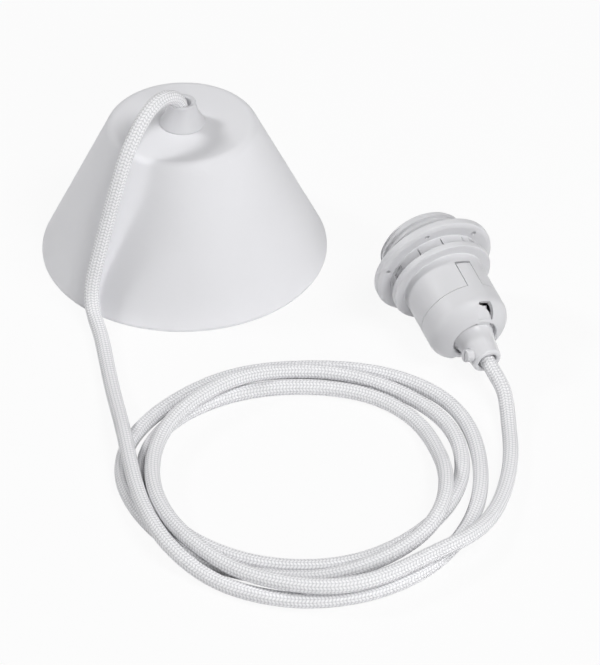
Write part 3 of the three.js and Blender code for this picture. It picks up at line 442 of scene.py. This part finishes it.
def smooth_route(points, samples=24):
    """A curve through the points: between two of them a cubic whose slopes come from the four points
    round it, each weighted by the square root of its distance to the next."""
    ends = [2 * points[0] - points[1], 2 * points[-1] - points[-2]]
    p = np.vstack([ends[0], points, ends[1]])
    gap = np.sqrt(np.linalg.norm(np.diff(p, axis=0), axis=1))[:, None]
    p0, p1, p2, p3 = p[:-3], p[1:-2], p[2:-1], p[3:]
    d0, d1, d2 = gap[:-2], gap[1:-1], gap[2:]
    leave = ((p1 - p0) / d0 - (p2 - p0) / (d0 + d1) + (p2 - p1) / d1) * d1
    reach = ((p2 - p1) / d1 - (p3 - p1) / (d1 + d2) + (p3 - p2) / d2) * d1
    t = np.linspace(0, 1, samples, endpoint=False)[:, None, None]
    square = 3 * (p2 - p1) - 2 * leave - reach
    cube = 2 * (p1 - p2) + leave + reach
    curves = p1 + leave * t + square * t ** 2 + cube * t ** 3
    curve = np.transpose(curves, (1, 0, 2)).reshape(-1, 3)
    return np.vstack([curve, points[-1]])


def evenly(curve, count):
    """The curve at evenly spaced distances along it, and its length."""
    steps = np.linalg.norm(np.diff(curve, axis=0), axis=1)
    along = np.concatenate([[0], np.cumsum(steps)])
    places = np.linspace(0, along[-1], count)
    return np.stack([np.interp(places, along, curve[:, k]) for k in range(3)], axis=1), along[-1]


def eased(curve, step, width):
    """The curve averaged with a bell of the given width, mirrored through its ends so that they stay."""
    reach = int(4 * width / step)
    bell = np.exp(-0.5 * (np.arange(-reach, reach + 1) * step / width) ** 2)
    bell /= bell.sum()
    before = 2 * curve[0] - curve[reach:0:-1]
    after = 2 * curve[-1] - curve[-2:-reach - 2:-1]
    padded = np.vstack([before, curve, after])
    return np.stack([np.convolve(padded[:, k], bell, mode="valid") for k in range(3)], axis=1)


def carried_sides(curve):
    """Two directions across the curve at each of its points, carried along it without twist."""
    along = np.gradient(curve, axis=0)
    along /= np.linalg.norm(along, axis=1)[:, None]
    side = np.empty_like(along)
    side[0] = np.cross(along[0], [0.6, -0.5, 0.62])
    side[0] /= np.linalg.norm(side[0])
    for k in range(1, len(along)):
        turned = side[k - 1] - along[k] * (side[k - 1] @ along[k])
        side[k] = turned / np.linalg.norm(turned)
    return side, np.cross(along, side)


# Steps along the rough curve, rows of points for each pick, and how far the radius dips between picks
CORD_SAMPLES = 4000
ROWS_A_PICK = 3
PICK_DIP = 0.045
# The three bells' widths, and the stretches along the cord, in metres, over which the wider one and the
# widest one come in and go out; the loops' end is counted back from the cord's far end
EASING = (4 * MM, 9 * MM, 17 * MM)
LOOPS_COME, LOOPS_GO = (0.15, 0.2), (0.1, 0.06)
DROP_COMES, DROP_GOES = (0.16, 0.2), (0.28, 0.36)


def eased_route():
    """The route eased with three bells: the narrowest one where the cord leaves the grip and meets the
    gland, a wider one in the loops, and the widest one where it hangs from the cup down to the floor."""
    rough, length = evenly(smooth_route(CORD_ROUTE), CORD_SAMPLES + 1)
    along = np.linspace(0, length, CORD_SAMPLES + 1)[:, None]
    near, far, drop = (eased(rough, length / CORD_SAMPLES, width) for width in EASING)
    loops = step_up(along, *LOOPS_COME) * (1 - step_up(along, length - LOOPS_GO[0], length - LOOPS_GO[1]))
    hanging = step_up(along, *DROP_COMES) * (1 - step_up(along, *DROP_GOES))
    return near + (far - near) * loops + (drop - far) * hanging, length


def braided_cord():
    """A tube round the eased route: its radius dips between picks, and the picks slant one way and then
    the other in neighbouring columns, so that they meet in chevrons."""
    curve, length = eased_route()
    rows, around = ROWS_A_PICK * int(length / PICK) + 1, 2 * CHEVRONS
    curve, length = evenly(curve, rows)
    side, other = carried_sides(curve)
    picks = np.linspace(0, length / PICK, rows)
    columns = np.arange(around) / 2
    slant = np.abs((columns + 0.5) % 1 - 0.5) * PICK_SLANT
    phase = (picks[:, None] + slant[None, :]) % 1
    radius = CORD_RADIUS * (1 - PICK_DIP * (1 - np.sin(np.pi * phase) ** 0.6))
    angle = (TAU * columns / CHEVRONS)[None, :, None]
    ring = side[:, None, :] * np.cos(angle) + other[:, None, :] * np.sin(angle)
    points = (curve[:, None, :] + ring * radius[:, :, None]).reshape(-1, 3)
    faces = grid_faces(rows, around)
    u, v = np.repeat(picks, around)[faces], np.tile(columns, rows)[faces]
    wrapped = v.max(axis=1) - v.min(axis=1) > 1
    v[wrapped] = np.where(v[wrapped] < 1, v[wrapped] + CHEVRONS, v[wrapped])
    piece = mesh_object("braided_cord", points, faces, cord_braid, np.stack([u, v], axis=-1))
    close_ends(piece)
    return piece, curve, length


def close_ends(piece):
    """Fills each open ring at a tube's ends with one flat face that points outwards."""
    mesh = bmesh.new()
    mesh.from_mesh(piece.data)
    bmesh.ops.holes_fill(mesh, edges=[e for e in mesh.edges if e.is_boundary], sides=0)
    bmesh.ops.recalc_face_normals(mesh, faces=mesh.faces)
    mesh.to_mesh(piece.data)
    mesh.free()


cord, cord_curve, CORD_LENGTH = braided_cord()
dress(cord, "pendant_cord")


# The ceiling cup and its cord grip, in millimetres about the cup's axis

CUP_RIM = 67.25
CUP_TOP = 34.1
CUP_HEIGHT = 71.2
CUP_WALL = 2.2
CUP_RIM_HEIGHT = 1.5
CUP_SHOULDER = 4.8
CUP_HOLE = 6.7
GRIP_FOOT = 10.6
GRIP_FOOT_EDGE = 0.5
GRIP_NECK = 6.6
GRIP_HEIGHT = 11.7
GRIP_FLARE = 10.2
GRIP_BORE = 4.15
GRIP_STEM = 6.4
GRIP_STEM_LENGTH = 9.5
GRIP_GAP = 0.02


def cup_outline():
    """Straight cone on a short upright rim, rounded into a flat top with a hole; the inside runs a wall's
    thickness within it."""
    slope = (CUP_RIM - CUP_TOP) / (CUP_HEIGHT - CUP_RIM_HEIGHT)
    across = CUP_WALL * np.hypot(1, slope)
    under = CUP_HEIGHT - CUP_WALL
    return rounded_outline([
        (CUP_RIM - CUP_WALL, 0, 0.6),
        (CUP_RIM, 0, 0.6),
        (CUP_RIM, CUP_RIM_HEIGHT, 0.5),
        (CUP_TOP, CUP_HEIGHT, CUP_SHOULDER),
        (CUP_HOLE, CUP_HEIGHT, 0.2),
        (CUP_HOLE, under, 0.2),
        (CUP_TOP + slope * CUP_WALL - across, under, CUP_SHOULDER - CUP_WALL),
        (CUP_RIM - CUP_WALL, CUP_RIM_HEIGHT + 0.4, 0.6),
    ], steps=8)


def grip_outline():
    """A bell: a short upright foot, a flare whose radius falls off as a power of the height, a rounded
    mouth round the cord, and a stem down through the cup's top."""
    seat, top = CUP_HEIGHT + GRIP_GAP, CUP_HEIGHT + GRIP_HEIGHT
    under = CUP_HEIGHT - CUP_WALL - GRIP_STEM_LENGTH
    t = np.linspace(0, 1, 24)
    across = GRIP_NECK + (GRIP_FOOT - GRIP_NECK) * (1 - t) ** 1.7
    flare = list(zip(across, seat + GRIP_FOOT_EDGE + t * GRIP_FLARE))
    foot = [(GRIP_BORE, under), (GRIP_STEM, under, 0.3), (GRIP_STEM, seat), (GRIP_FOOT, seat, 0.15)]
    mouth = [(GRIP_NECK, top, 0.8), (GRIP_BORE, top, 0.9)]
    return rounded_outline(foot + flare + mouth)


dress(turned_piece("cone_cup", cup_outline(), in_cup, matt_white, 288), "ceiling_cup")
dress(turned_piece("flared_grip", grip_outline(), in_cup, shaded_satin_white, 144), "cup_cord_grip")


# The lampholder: radii about its own axis and places along it in millimetres, with 0 just behind the
# thread and the mouth on the minus side; the latches' turns are in degrees

LATCHES = (75.0, 255.0)
BODY = 19.24
SEAM = 27.4
LATCH_HALF = 3.8
TONGUE_TIP = 14.0
SLOT_START = 12.9
MOUTH = -18.7
THREAD_PITCH = 3.0
THREAD_ROWS = 96
THREAD_ROOT = 19.0
THREAD_CREST = 20.1
THREAD_START = -17.4
THREAD_END = -0.6
LIP_BORE = 14.95
LIP_DEPTH = -12.2
MOUTH_BORE = 16.6
FLANGE_OUT = 24.1
FLANGE_FRONT = 4.8
FLANGE_BACK = 8.0
BODY_BORE = 17.0
SHELF = 15.6
SLOT_FLOOR = 15.4
RECESS_FLOOR = 17.2
RECESS_HALF = LATCH_HALF + 0.3
EDGE = 0.03


def latch_edges(half):
    """The angles of both sides of each latch, for a strip of this half width."""
    turn = half / BODY
    return np.concatenate([np.radians(LATCHES) - turn, np.radians(LATCHES) + turn])


def near_latch(angles, half):
    """Which angles lie within a half width of either latch's middle."""
    return np.minimum(*[np.abs(from_turn(angles, turn)) for turn in LATCHES]) * BODY < half


def thread_radius(along, angles):
    """A rounded rib that follows a helix: the radius rises and falls with the distance along less the
    turned angle, and the rib fades out at both ends of the thread."""
    phase = (along[:, None] / THREAD_PITCH - angles[None, :] / TAU) % 1
    rib = step_up(1 - np.abs(phase * 2 - 1), 0.22, 0.62)
    fade = step_up(along, MOUTH + 0.5, MOUTH + 1.5) * (1 - step_up(along, THREAD_END - 1.0, THREAD_END))
    return THREAD_ROOT + (THREAD_CREST - THREAD_ROOT) * rib * fade[:, None]


def sleeve():
    """The threaded sleeve: an outline turned about the axis, with the thread's rib added on its stretch and
    the latch recesses pressed into the plain part of the body."""
    front = rounded_outline([
        (LIP_BORE, LIP_DEPTH),
        (MOUTH_BORE, LIP_DEPTH - 1.0),
        (MOUTH_BORE, MOUTH, 0.4),
        (THREAD_ROOT, MOUTH, 0.7),
        (THREAD_ROOT, MOUTH + 1.2),
    ], closed=False)
    thread = np.linspace(THREAD_START, THREAD_END, THREAD_ROWS)
    flange = rounded_outline([
        (THREAD_ROOT, THREAD_END + 0.1),
        (THREAD_ROOT, FLANGE_FRONT),
        (FLANGE_OUT, FLANGE_FRONT, 0.7),
        (FLANGE_OUT, FLANGE_BACK, 0.7),
        (BODY, FLANGE_BACK, 0.5),
        (BODY, SLOT_START - EDGE),
    ], closed=False)
    body = np.array([SLOT_START + EDGE, TONGUE_TIP, TONGUE_TIP + 2 * EDGE, 18, 23, SEAM - 0.25, SEAM - 0.08])
    back = [(BODY - 0.2, SEAM), (BODY_BORE, SEAM), (BODY_BORE, SHELF), (LIP_BORE, SHELF)]
    threaded = np.stack([np.full(THREAD_ROWS, THREAD_ROOT), thread], axis=1)
    plain = np.stack([np.full(len(body), BODY), body], axis=1)
    outline = np.vstack([front, threaded, flange, plain, back])
    angles = with_edges(300, latch_edges(RECESS_HALF), 0.02 / BODY)
    radius = np.repeat(outline[:, :1], len(angles), axis=1)
    start = len(front)
    radius[start:start + THREAD_ROWS] = thread_radius(thread, angles)
    first = start + THREAD_ROWS + len(flange)
    last = first + len(body) + 1
    recess = near_latch(angles, RECESS_HALF)
    floor = np.where(outline[first:last, 1:] < TONGUE_TIP + EDGE, SLOT_FLOOR, RECESS_FLOOR)
    radius[first:last, recess] = floor
    points = round_grid(radius, outline[:, 1:], angles)
    faces = grid_faces(len(outline), len(angles), closed_rows=True)
    return mesh_object("threaded_barrel", in_holder(points.reshape(-1, 3)), faces, gloss_white)


dress(sleeve(), "threaded_sleeve")

# The ring's radii and places along the axis, and where its slits, notches and holes are round it
RING_OUT = 28.75
RING_FRONT = -5.2
RING_BACK = -1.0
HUB = 21.9
HUB_END = 4.5
RING_BORE = 20.4
RIM_INSIDE = 27.15
RING_FACE = -4.0
SLIT_HALF = 0.3 / HUB
NOTCH_HALF = 3.25 / HUB
HOLE_CIRCLE = 24.9
HOLE_RADIUS = 1.0
HOLE_DEPTH = 2.0
SLITS = np.radians(2.0 + 30.0 * np.arange(12))
NOTCHES = np.radians(42.0 + 120.0 * np.arange(3))
RING_HOLES = 46.5 + 60.0 * np.arange(6)


def turn_gap(angles, centres):
    """Distance in radians from each angle to the nearest of the centres."""
    return np.abs((angles[:, None] - centres[None, :] + np.pi) % TAU - np.pi).min(axis=1)


def shade_ring():
    """The loose ring: a flange with a turned-in rim and a hub. Slits and wide notches lower the hub's
    outside between close pairs of grid lines, and each small hole is a round pit in the flange's back."""
    front = rounded_outline([
        (RING_BORE, RING_FACE),
        (RIM_INSIDE, RING_FACE, 0.3),
        (RIM_INSIDE, RING_FRONT, 0.5),
        (RING_OUT, RING_FRONT, 0.8),
        (RING_OUT, RING_BACK - 0.8, 0.8),
        (26.6, RING_BACK),
    ], closed=False)
    pitted = np.linspace(26.5, 22.75, 26)
    back = np.stack([pitted, np.full(len(pitted), RING_BACK)], axis=1)
    foot = rounded_outline([(22.7, RING_BACK), (HUB, RING_BACK, 0.35), (HUB, -0.12)], closed=False)
    hub = np.array([[HUB, -0.08], [HUB, 1.0], [HUB, 2.6], [HUB, 3.4], [HUB - 0.12, 4.0], [HUB - 0.5, 4.42]])
    rim = np.array([[HUB - 0.8, HUB_END], [RING_BORE + 0.2, HUB_END], [RING_BORE, HUB_END - 0.2]])
    outline = np.vstack([front, back, foot, hub, rim])
    edges = [SLITS - SLIT_HALF, SLITS + SLIT_HALF, NOTCHES - NOTCH_HALF, NOTCHES + NOTCH_HALF]
    angles = with_edges(600, np.concatenate(edges), 0.015 / HUB)
    radius = np.repeat(outline[:, :1], len(angles), axis=1)
    along = np.repeat(outline[:, 1:], len(angles), axis=1)
    first = len(front) + len(back) + len(foot)
    rows = slice(first, first + len(hub))
    radius[rows, turn_gap(angles, SLITS) < SLIT_HALF] = HUB - 1.0
    radius[rows, turn_gap(angles, NOTCHES) < NOTCH_HALF] = RING_BORE + 0.5
    flat = slice(len(front), len(front) + len(back))
    for turn in RING_HOLES:
        across = HOLE_CIRCLE * from_turn(angles, turn)
        away = np.hypot(across[None, :], radius[flat] - HOLE_CIRCLE)
        along[flat] -= HOLE_DEPTH * (1 - step_up(away, HOLE_RADIUS - 0.05, HOLE_RADIUS + 0.1))
    points = round_grid(radius, along, angles)
    faces = grid_faces(len(outline), len(angles), closed_rows=True)
    return mesh_object("loose_ring", in_holder(points.reshape(-1, 3)), faces, gloss_white)


dress(shade_ring(), "shade_ring")


def open_shell(outer, inner, angles, cut):
    """Points and faces of one closed body from an outer and an inner grid of (radius, along) and their
    angles. Cells that cut marks are left out of both grids, and walls join the two round each opening."""
    rows, columns = outer.shape[:2]
    sheets = [round_grid(sheet[..., 0], sheet[..., 1], angles).reshape(-1, 3) for sheet in (outer, inner)]
    quads = grid_faces(rows, columns)
    keep = ~cut.reshape(-1)
    shift = rows * columns
    solid = np.pad(~cut, ((1, 1), (0, 0)))
    i, j = np.nonzero(solid[1:] != solid[:-1])
    left, right = i * columns + j, i * columns + (j + 1) % columns
    across = np.where(solid[1:][i, j], [left, right], [right, left])
    i, j = np.nonzero(cut != np.roll(cut, 1, axis=1))
    low, high = i * columns + j, (i + 1) * columns + j
    along = np.where(cut[i, j], [low, high], [high, low])
    start, end = np.hstack([across, along])
    walls = np.stack([end, start, start + shift, end + shift], axis=1)
    faces = np.vstack([quads[keep], quads[keep][:, ::-1] + shift, walls])
    used, faces = np.unique(faces, return_inverse=True)
    return np.vstack(sheets)[used], faces.reshape(-1, 4)


# The cap: its wall is straight up to CAP_STRAIGHT, and then a quarter of an ellipse down to CAP_FOOT
CAP_STRAIGHT = 34.9
CAP_END = 45.0
CAP_MOUTH = 10.6
CAP_FOOT = 3.0
CAP_WALL = 1.9
CAP_INSIDE_END = 43.1
CAP_INSIDE_SHARE = 0.81
CAP_LIP_WALL = 1.2
SEAM_GAP = 0.3
WINDOW_START = 37.4
WINDOW_END = 43.0
WINDOW_HALF = 3.0 / BODY
WINDOW_RADIUS = 15.0
# Along the axis: where a window's two sides run, as angles from the latch's middle
SIDE_PLACES = (CAP_STRAIGHT, WINDOW_START, WINDOW_END)
RIGHT_SIDE = (-WINDOW_HALF, -0.167, -0.37)
LEFT_SIDE = (WINDOW_HALF, 0.144, 0.264)


def dome_rows(depth, along, end):
    """The cap's wall at a depth below its outer face: straight, then a quarter of an ellipse."""
    rise = np.clip((along - CAP_STRAIGHT) / (end - CAP_STRAIGHT), 0, 1)
    return CAP_FOOT + (BODY - depth - CAP_FOOT) * np.sqrt(1 - rise ** 2)


def leaning_sides(angles, along):
    """The angles for each row: near a latch they are drawn apart in step with the window's leaning sides."""
    turned = np.repeat(angles[None, :], len(along), axis=0)
    reach = 4 * WINDOW_HALF
    for latch in LATCHES:
        off = from_turn(angles, latch)
        near = np.abs(off) < reach
        for row, place in enumerate(along):
            sides = [np.interp(place, SIDE_PLACES, side) for side in (RIGHT_SIDE, LEFT_SIDE)]
            moved = np.interp(off[near], (-reach, -WINDOW_HALF, WINDOW_HALF, reach), (-reach, *sides, reach))
            turned[row, near] += moved - off[near]
    return turned


def dome_plate(latch, outline, sink, thick):
    """A closed plate under the dome: rings drawn from its middle out to an outline of (angle, along) and
    back underneath; sink gives its depth below the dome at a distance from the outline's first corner."""
    outline = np.array(outline)
    middle = outline.mean(axis=0)
    out = np.array([0.0, 0.4, 0.8, 1.0, 1.0, 0.5, 0.0])[:, None, None]
    rings = middle + out * (outline - middle)[None]
    turn, along = rings[:, :, 0], rings[:, :, 1]
    away = np.hypot((turn - outline[0, 0]) * WINDOW_RADIUS, along - outline[0, 1])
    radius = dome_rows(0, along, CAP_END) - sink[0] - sink[1] * away
    radius[4:] -= thick
    points = round_grid(radius, along, turn + np.radians(latch))
    return points.reshape(-1, 3), grid_faces(*turn.shape)


def window_fillings(latch):
    """Behind a window: a sunk ramp across its lower corner and a floor deeper down."""
    ramp = [
        (0.30, 43.3),
        (0.17, 37.9),
        (0.08, 38.4),
        (-0.02, 39.3),
        (-0.15, 40.6),
        (-0.28, 41.8),
        (-0.38, 42.9),
        (-0.40, 43.3),
    ]
    floor = [(0.36, 43.6), (0.20, 36.8), (-0.22, 36.8), (-0.48, 43.6)]
    return [dome_plate(latch, ramp, (0.4, 0.1), 1.5), dome_plate(latch, floor, (3.8, 0.0), 0.8)]


def cap():
    """The domed cap: rows along the wall, denser round the windows. At a latch the first rows reach on to
    the tongue's tip. The windows are left open between close pairs of rows and columns."""
    seam, window = SEAM + SEAM_GAP, WINDOW_HALF * BODY
    mouth = np.arccos((CAP_MOUTH + 0.7 - CAP_FOOT) / (BODY - CAP_FOOT))
    end = CAP_STRAIGHT + (CAP_END - CAP_STRAIGHT) * np.sin(mouth)
    plain = [seam, seam + 0.1, seam + 0.3, 29.0, 31.0, 33.0, CAP_STRAIGHT]
    domed = np.append(np.linspace(CAP_STRAIGHT + 0.4, end, 30), [WINDOW_START, WINDOW_END])
    along = np.concatenate([plain, np.sort(domed)])
    edges = np.concatenate([latch_edges(LATCH_HALF), latch_edges(window)])
    angles = with_edges(240, edges, 0.02 / BODY)
    dome = np.clip(along - CAP_STRAIGHT, 0, None) * CAP_INSIDE_SHARE
    outer = np.empty((len(along) + 3, len(angles), 2))
    outer[:-3, :, 0] = dome_rows(0, along, CAP_END)[:, None]
    outer[:-3, :, 1] = along[:, None]
    outer[-3:, :, 0] = CAP_MOUTH + np.array([[0.45], [0.15], [0.0]])
    outer[-3:, :, 1] = end + np.array([[0.02], [-0.15], [-0.5]])
    inner = np.empty_like(outer)
    inner[:-3, :, 0] = dome_rows(CAP_WALL, CAP_STRAIGHT + dome, CAP_INSIDE_END)[:, None]
    inner[:-3, :, 1] = (np.minimum(along, CAP_STRAIGHT) + dome)[:, None]
    inner[-3:, :, 0] = CAP_MOUTH + 0.05
    inner[-3:, :, 1] = end - CAP_LIP_WALL
    inner[:3, :, 0] = BODY - CAP_WALL + 0.2
    tongue = near_latch(angles, LATCH_HALF)
    for sheet in (outer, inner):
        sheet[0, tongue, 1] = TONGUE_TIP
        sheet[1, tongue, 1] = TONGUE_TIP + 0.2
    cut = np.zeros((len(along) + 2, len(angles)), dtype=bool)
    band = (along[:-1] >= WINDOW_START - 1e-6) & (along[1:] <= WINDOW_END + 1e-6)
    opening = near_latch(angles, window) & near_latch(np.roll(angles, -1), window)
    cut[:len(band)] = band[:, None] & opening
    parts = [open_shell(outer, inner, leaning_sides(angles, outer[:, 0, 1]), cut)]
    for latch in LATCHES:
        parts += window_fillings(latch)
    starts = np.cumsum([0] + [len(points) for points, _ in parts[:-1]])
    all_points = np.vstack([points for points, _ in parts])
    all_faces = np.vstack([faces + start for (_, faces), start in zip(parts, starts)])
    piece = mesh_object("domed_cap", in_holder(all_points), all_faces, gloss_white)
    settle(piece)
    return piece


dress(cap(), "holder_cap")


# The gland's radii and places along the axis; the clamp screw's turn about it in degrees, and its slot's
# half width as a share of the head's radius
GLAND_START = 39.5
GLAND_END = 57.6
GLAND_BORE = 4.4
GLAND_COLLAR = 11.5
GLAND_BELL = 9.7
GLAND_NECK = 7.7
GLAND_LIP = 6.85
SCREW_TURN = 163.6
SCREW_SPIN = np.radians(35.0)
SCREW_PLACE = 53.1
SCREW_RADIUS = 2.9
SCREW_FACE = 10.4
SCREW_UNDERSIDE = 6.8
SCREW_SEAT = 6.75
SLOT_DEPTH = 1.2
SLOT_HALF = 0.17


def gland_outline():
    """A bell over the cord: it falls from the cap's mouth to a neck as a power of the distance, then
    tapers to a rounded lip; inside it a collar and a bore."""
    collar_end = GLAND_START + 1.5
    base = [
        (GLAND_BORE, GLAND_START),
        (GLAND_COLLAR, GLAND_START),
        (GLAND_COLLAR, collar_end),
        (GLAND_BELL, collar_end),
    ]
    t = np.linspace(0, 1, 20)
    across = GLAND_NECK + (GLAND_BELL - GLAND_NECK) * (1 - t) ** 1.7
    bell = list(zip(across, collar_end + 0.9 + t * 8.5))
    mouth = [(GLAND_LIP + 0.05, 55.4), (GLAND_LIP, GLAND_END, 1.3), (GLAND_BORE, GLAND_END, 0.7)]
    return rounded_outline(base + bell + mouth)


def gland():
    """The turned bell with a flat seat pressed into it round the clamp screw's axis."""
    outline = gland_outline()[::-1]
    angles = np.linspace(0, TAU, 180, endpoint=False)
    radius = np.repeat(outline[:, :1], len(angles), axis=1)
    turn = from_turn(angles, SCREW_TURN)
    away = np.hypot(radius * np.sin(turn)[None, :], outline[:, 1:] - SCREW_PLACE)
    seat = (away < SCREW_RADIUS + 0.3) & (np.abs(turn) < 1.2)[None, :] & (radius > 6.0)
    radius = np.where(seat, np.minimum(radius, SCREW_SEAT / np.cos(turn)[None, :]), radius)
    points = round_grid(radius, outline[:, 1:], angles)
    faces = grid_faces(len(outline), len(angles), closed_rows=True)
    return mesh_object("cord_bell", in_holder(points.reshape(-1, 3)), faces[:, ::-1], polished_white)


dress(gland(), "cord_gland")


def clamp_screw():
    """A round head with a straight slot: rows across the head hold close pairs at the slot's sides, and
    each row runs to the head's rounded edge. A wall joins the head's edge to a flat underside."""
    outward = np.array([0.0, 0.167, 0.172, 0.3, 0.5, 0.7, 0.85, 0.94, 0.985, 1.0])
    lines = np.concatenate([-outward[:0:-1], outward])
    spots = np.sin(np.linspace(-np.pi / 2, np.pi / 2, 25))
    v, u = np.meshgrid(lines, spots, indexing="ij")
    x, y = u * np.sqrt(1 - (v * 0.999) ** 2), v
    past_flat = (np.hypot(x, y) - 0.86).clip(0) / 0.141
    top = SCREW_FACE - 0.35 * (1 - np.sqrt(np.clip(1 - past_flat ** 2, 0, 1)))
    top = np.where(np.abs(v) < SLOT_HALF, top - SLOT_DEPTH, top)
    under = np.full_like(top, SCREW_UNDERSIDE)
    face = np.stack([x * SCREW_RADIUS, y * SCREW_RADIUS, top], axis=-1)
    foot = np.stack([x * SCREW_RADIUS, y * SCREW_RADIUS, under], axis=-1)
    rows, columns = x.shape
    quads = grid_faces(rows, columns, closed_columns=False)
    shift = rows * columns
    index = np.arange(shift).reshape(rows, columns)
    round_edge = np.concatenate([index[0], index[1:, -1], index[-1, -2::-1], index[-2:0:-1, 0]])
    following = np.roll(round_edge, -1)
    wall = np.stack([following, round_edge, round_edge + shift, following + shift], axis=1)
    faces = np.vstack([quads[:, ::-1], quads + shift, wall])
    points = np.vstack([face.reshape(-1, 3), foot.reshape(-1, 3)])
    a, b, out = points.T
    tangent = a * np.cos(SCREW_SPIN) - b * np.sin(SCREW_SPIN)
    up = a * np.sin(SCREW_SPIN) + b * np.cos(SCREW_SPIN)
    cos, sin = np.cos(np.radians(SCREW_TURN)), np.sin(np.radians(SCREW_TURN))
    placed = np.stack([out * cos - tangent * sin, out * sin + tangent * cos, SCREW_PLACE + up], axis=1)
    piece = mesh_object("slotted_clamp_screw", in_holder(placed), faces, gloss_white)
    settle(piece)
    return piece


dress(clamp_screw(), "gland_clamp_screw")

# The pieces that stay as they are get their finish

KEPT = {
    "cup_grip_nut": matt_white,
    "cord_hook": matt_white,
    "cord_hook_screw": plated_steel,
    "terminal_block": off_white,
    "cup_core_live": brown_sheath,
    "cup_core_neutral": blue_sheath,
    "terminal_screw_1": plated_steel,
    "terminal_screw_2": plated_steel,
    "terminal_screw_3": plated_steel,
    "terminal_screw_4": plated_steel,
    "screw_shell": yellow_brass,
    "contact_block": off_white,
    "centre_contact": yellow_brass,
    "side_contact": yellow_brass,
    "holder_terminal_live": yellow_brass,
    "holder_terminal_neutral": yellow_brass,
    "holder_core_live": brown_sheath,
    "holder_core_neutral": blue_sheath,
}
for node, material in KEPT.items():
    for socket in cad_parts[node].material_slots:
        socket.material = material


# Floor and light

FLOOR_HALF = 6.0
PLAIN_SHARE = 0.93
LIT_POINT = Vector((0.0, 0.0, 0.03))


def studio_floor():
    """A wide pale floor. To the camera it is mostly plain white, with a part of the lit surface over it so
    that the object's shadow stays."""
    material = bpy.data.materials.new("studio_white")
    material.use_nodes = True
    tree = material.node_tree
    tree.nodes.remove(tree.nodes["Principled BSDF"])
    paper = tree.nodes.new("ShaderNodeBsdfDiffuse")
    paper.inputs["Color"].default_value = (0.86, 0.86, 0.865, 1)
    plain = tree.nodes.new("ShaderNodeEmission")
    plain.inputs["Color"].default_value = (0.985, 0.985, 0.985, 1)
    rays = tree.nodes.new("ShaderNodeLightPath")
    seen_in = sums(tree, "MAXIMUM", rays.outputs["Is Glossy Ray"], rays.outputs["Is Transmission Ray"])
    direct = sums(tree, "MAXIMUM", rays.outputs["Is Camera Ray"], seen_in)
    mix = tree.nodes.new("ShaderNodeMixShader")
    tree.links.new(sums(tree, "MULTIPLY", direct, PLAIN_SHARE), mix.inputs["Fac"])
    tree.links.new(paper.outputs["BSDF"], mix.inputs[1])
    tree.links.new(plain.outputs["Emission"], mix.inputs[2])
    tree.links.new(mix.outputs["Shader"], tree.nodes["Material Output"].inputs["Surface"])
    corners = FLOOR_HALF * np.array([[-1, -1, 0], [1, -1, 0], [1, 1, 0], [-1, 1, 0]])
    floor = mesh_object("studio_floor", corners, np.array([[0, 1, 2, 3]]), material)


def soft_light(name, place, size, power):
    """A square soft light at a place, turned towards the object."""
    data = bpy.data.lights.new(name, "AREA")
    data.size = size
    data.energy = power
    lamp = bpy.data.objects.new(name, data)
    lamp.location = place
    lamp.rotation_euler = (LIT_POINT - Vector(place)).to_track_quat("-Z", "Y").to_euler()
    bpy.context.collection.objects.link(lamp)


def pale_surroundings(strength):
    """White all round, at full strength to the camera and at the given strength as light."""
    world = bpy.data.worlds.new("pale_surroundings")
    world.use_nodes = True
    tree = world.node_tree
    background = tree.nodes["Background"]
    background.inputs["Color"].default_value = (1.0, 1.0, 1.0, 1)
    rays = tree.nodes.new("ShaderNodeLightPath")
    seen = sums(tree, "MULTIPLY_ADD", rays.outputs["Is Camera Ray"], 0.98 - strength, strength)
    tree.links.new(seen, background.inputs["Strength"])
    bpy.context.scene.world = world


studio_floor()
pale_surroundings(0.08)
soft_light("key_right", (0.95, -0.75, 1.85), size=0.9, power=27.0)
soft_light("left_high", (-1.55, 0.43, 1.42), size=0.36, power=18.0)
soft_light("front_low", (0.7, -1.9, 0.84), size=1.0, power=14.0)
soft_light("right_low", (2.05, 0.28, 0.73), size=0.9, power=2.6)

bpy.context.scene.view_settings.view_transform = "Standard"
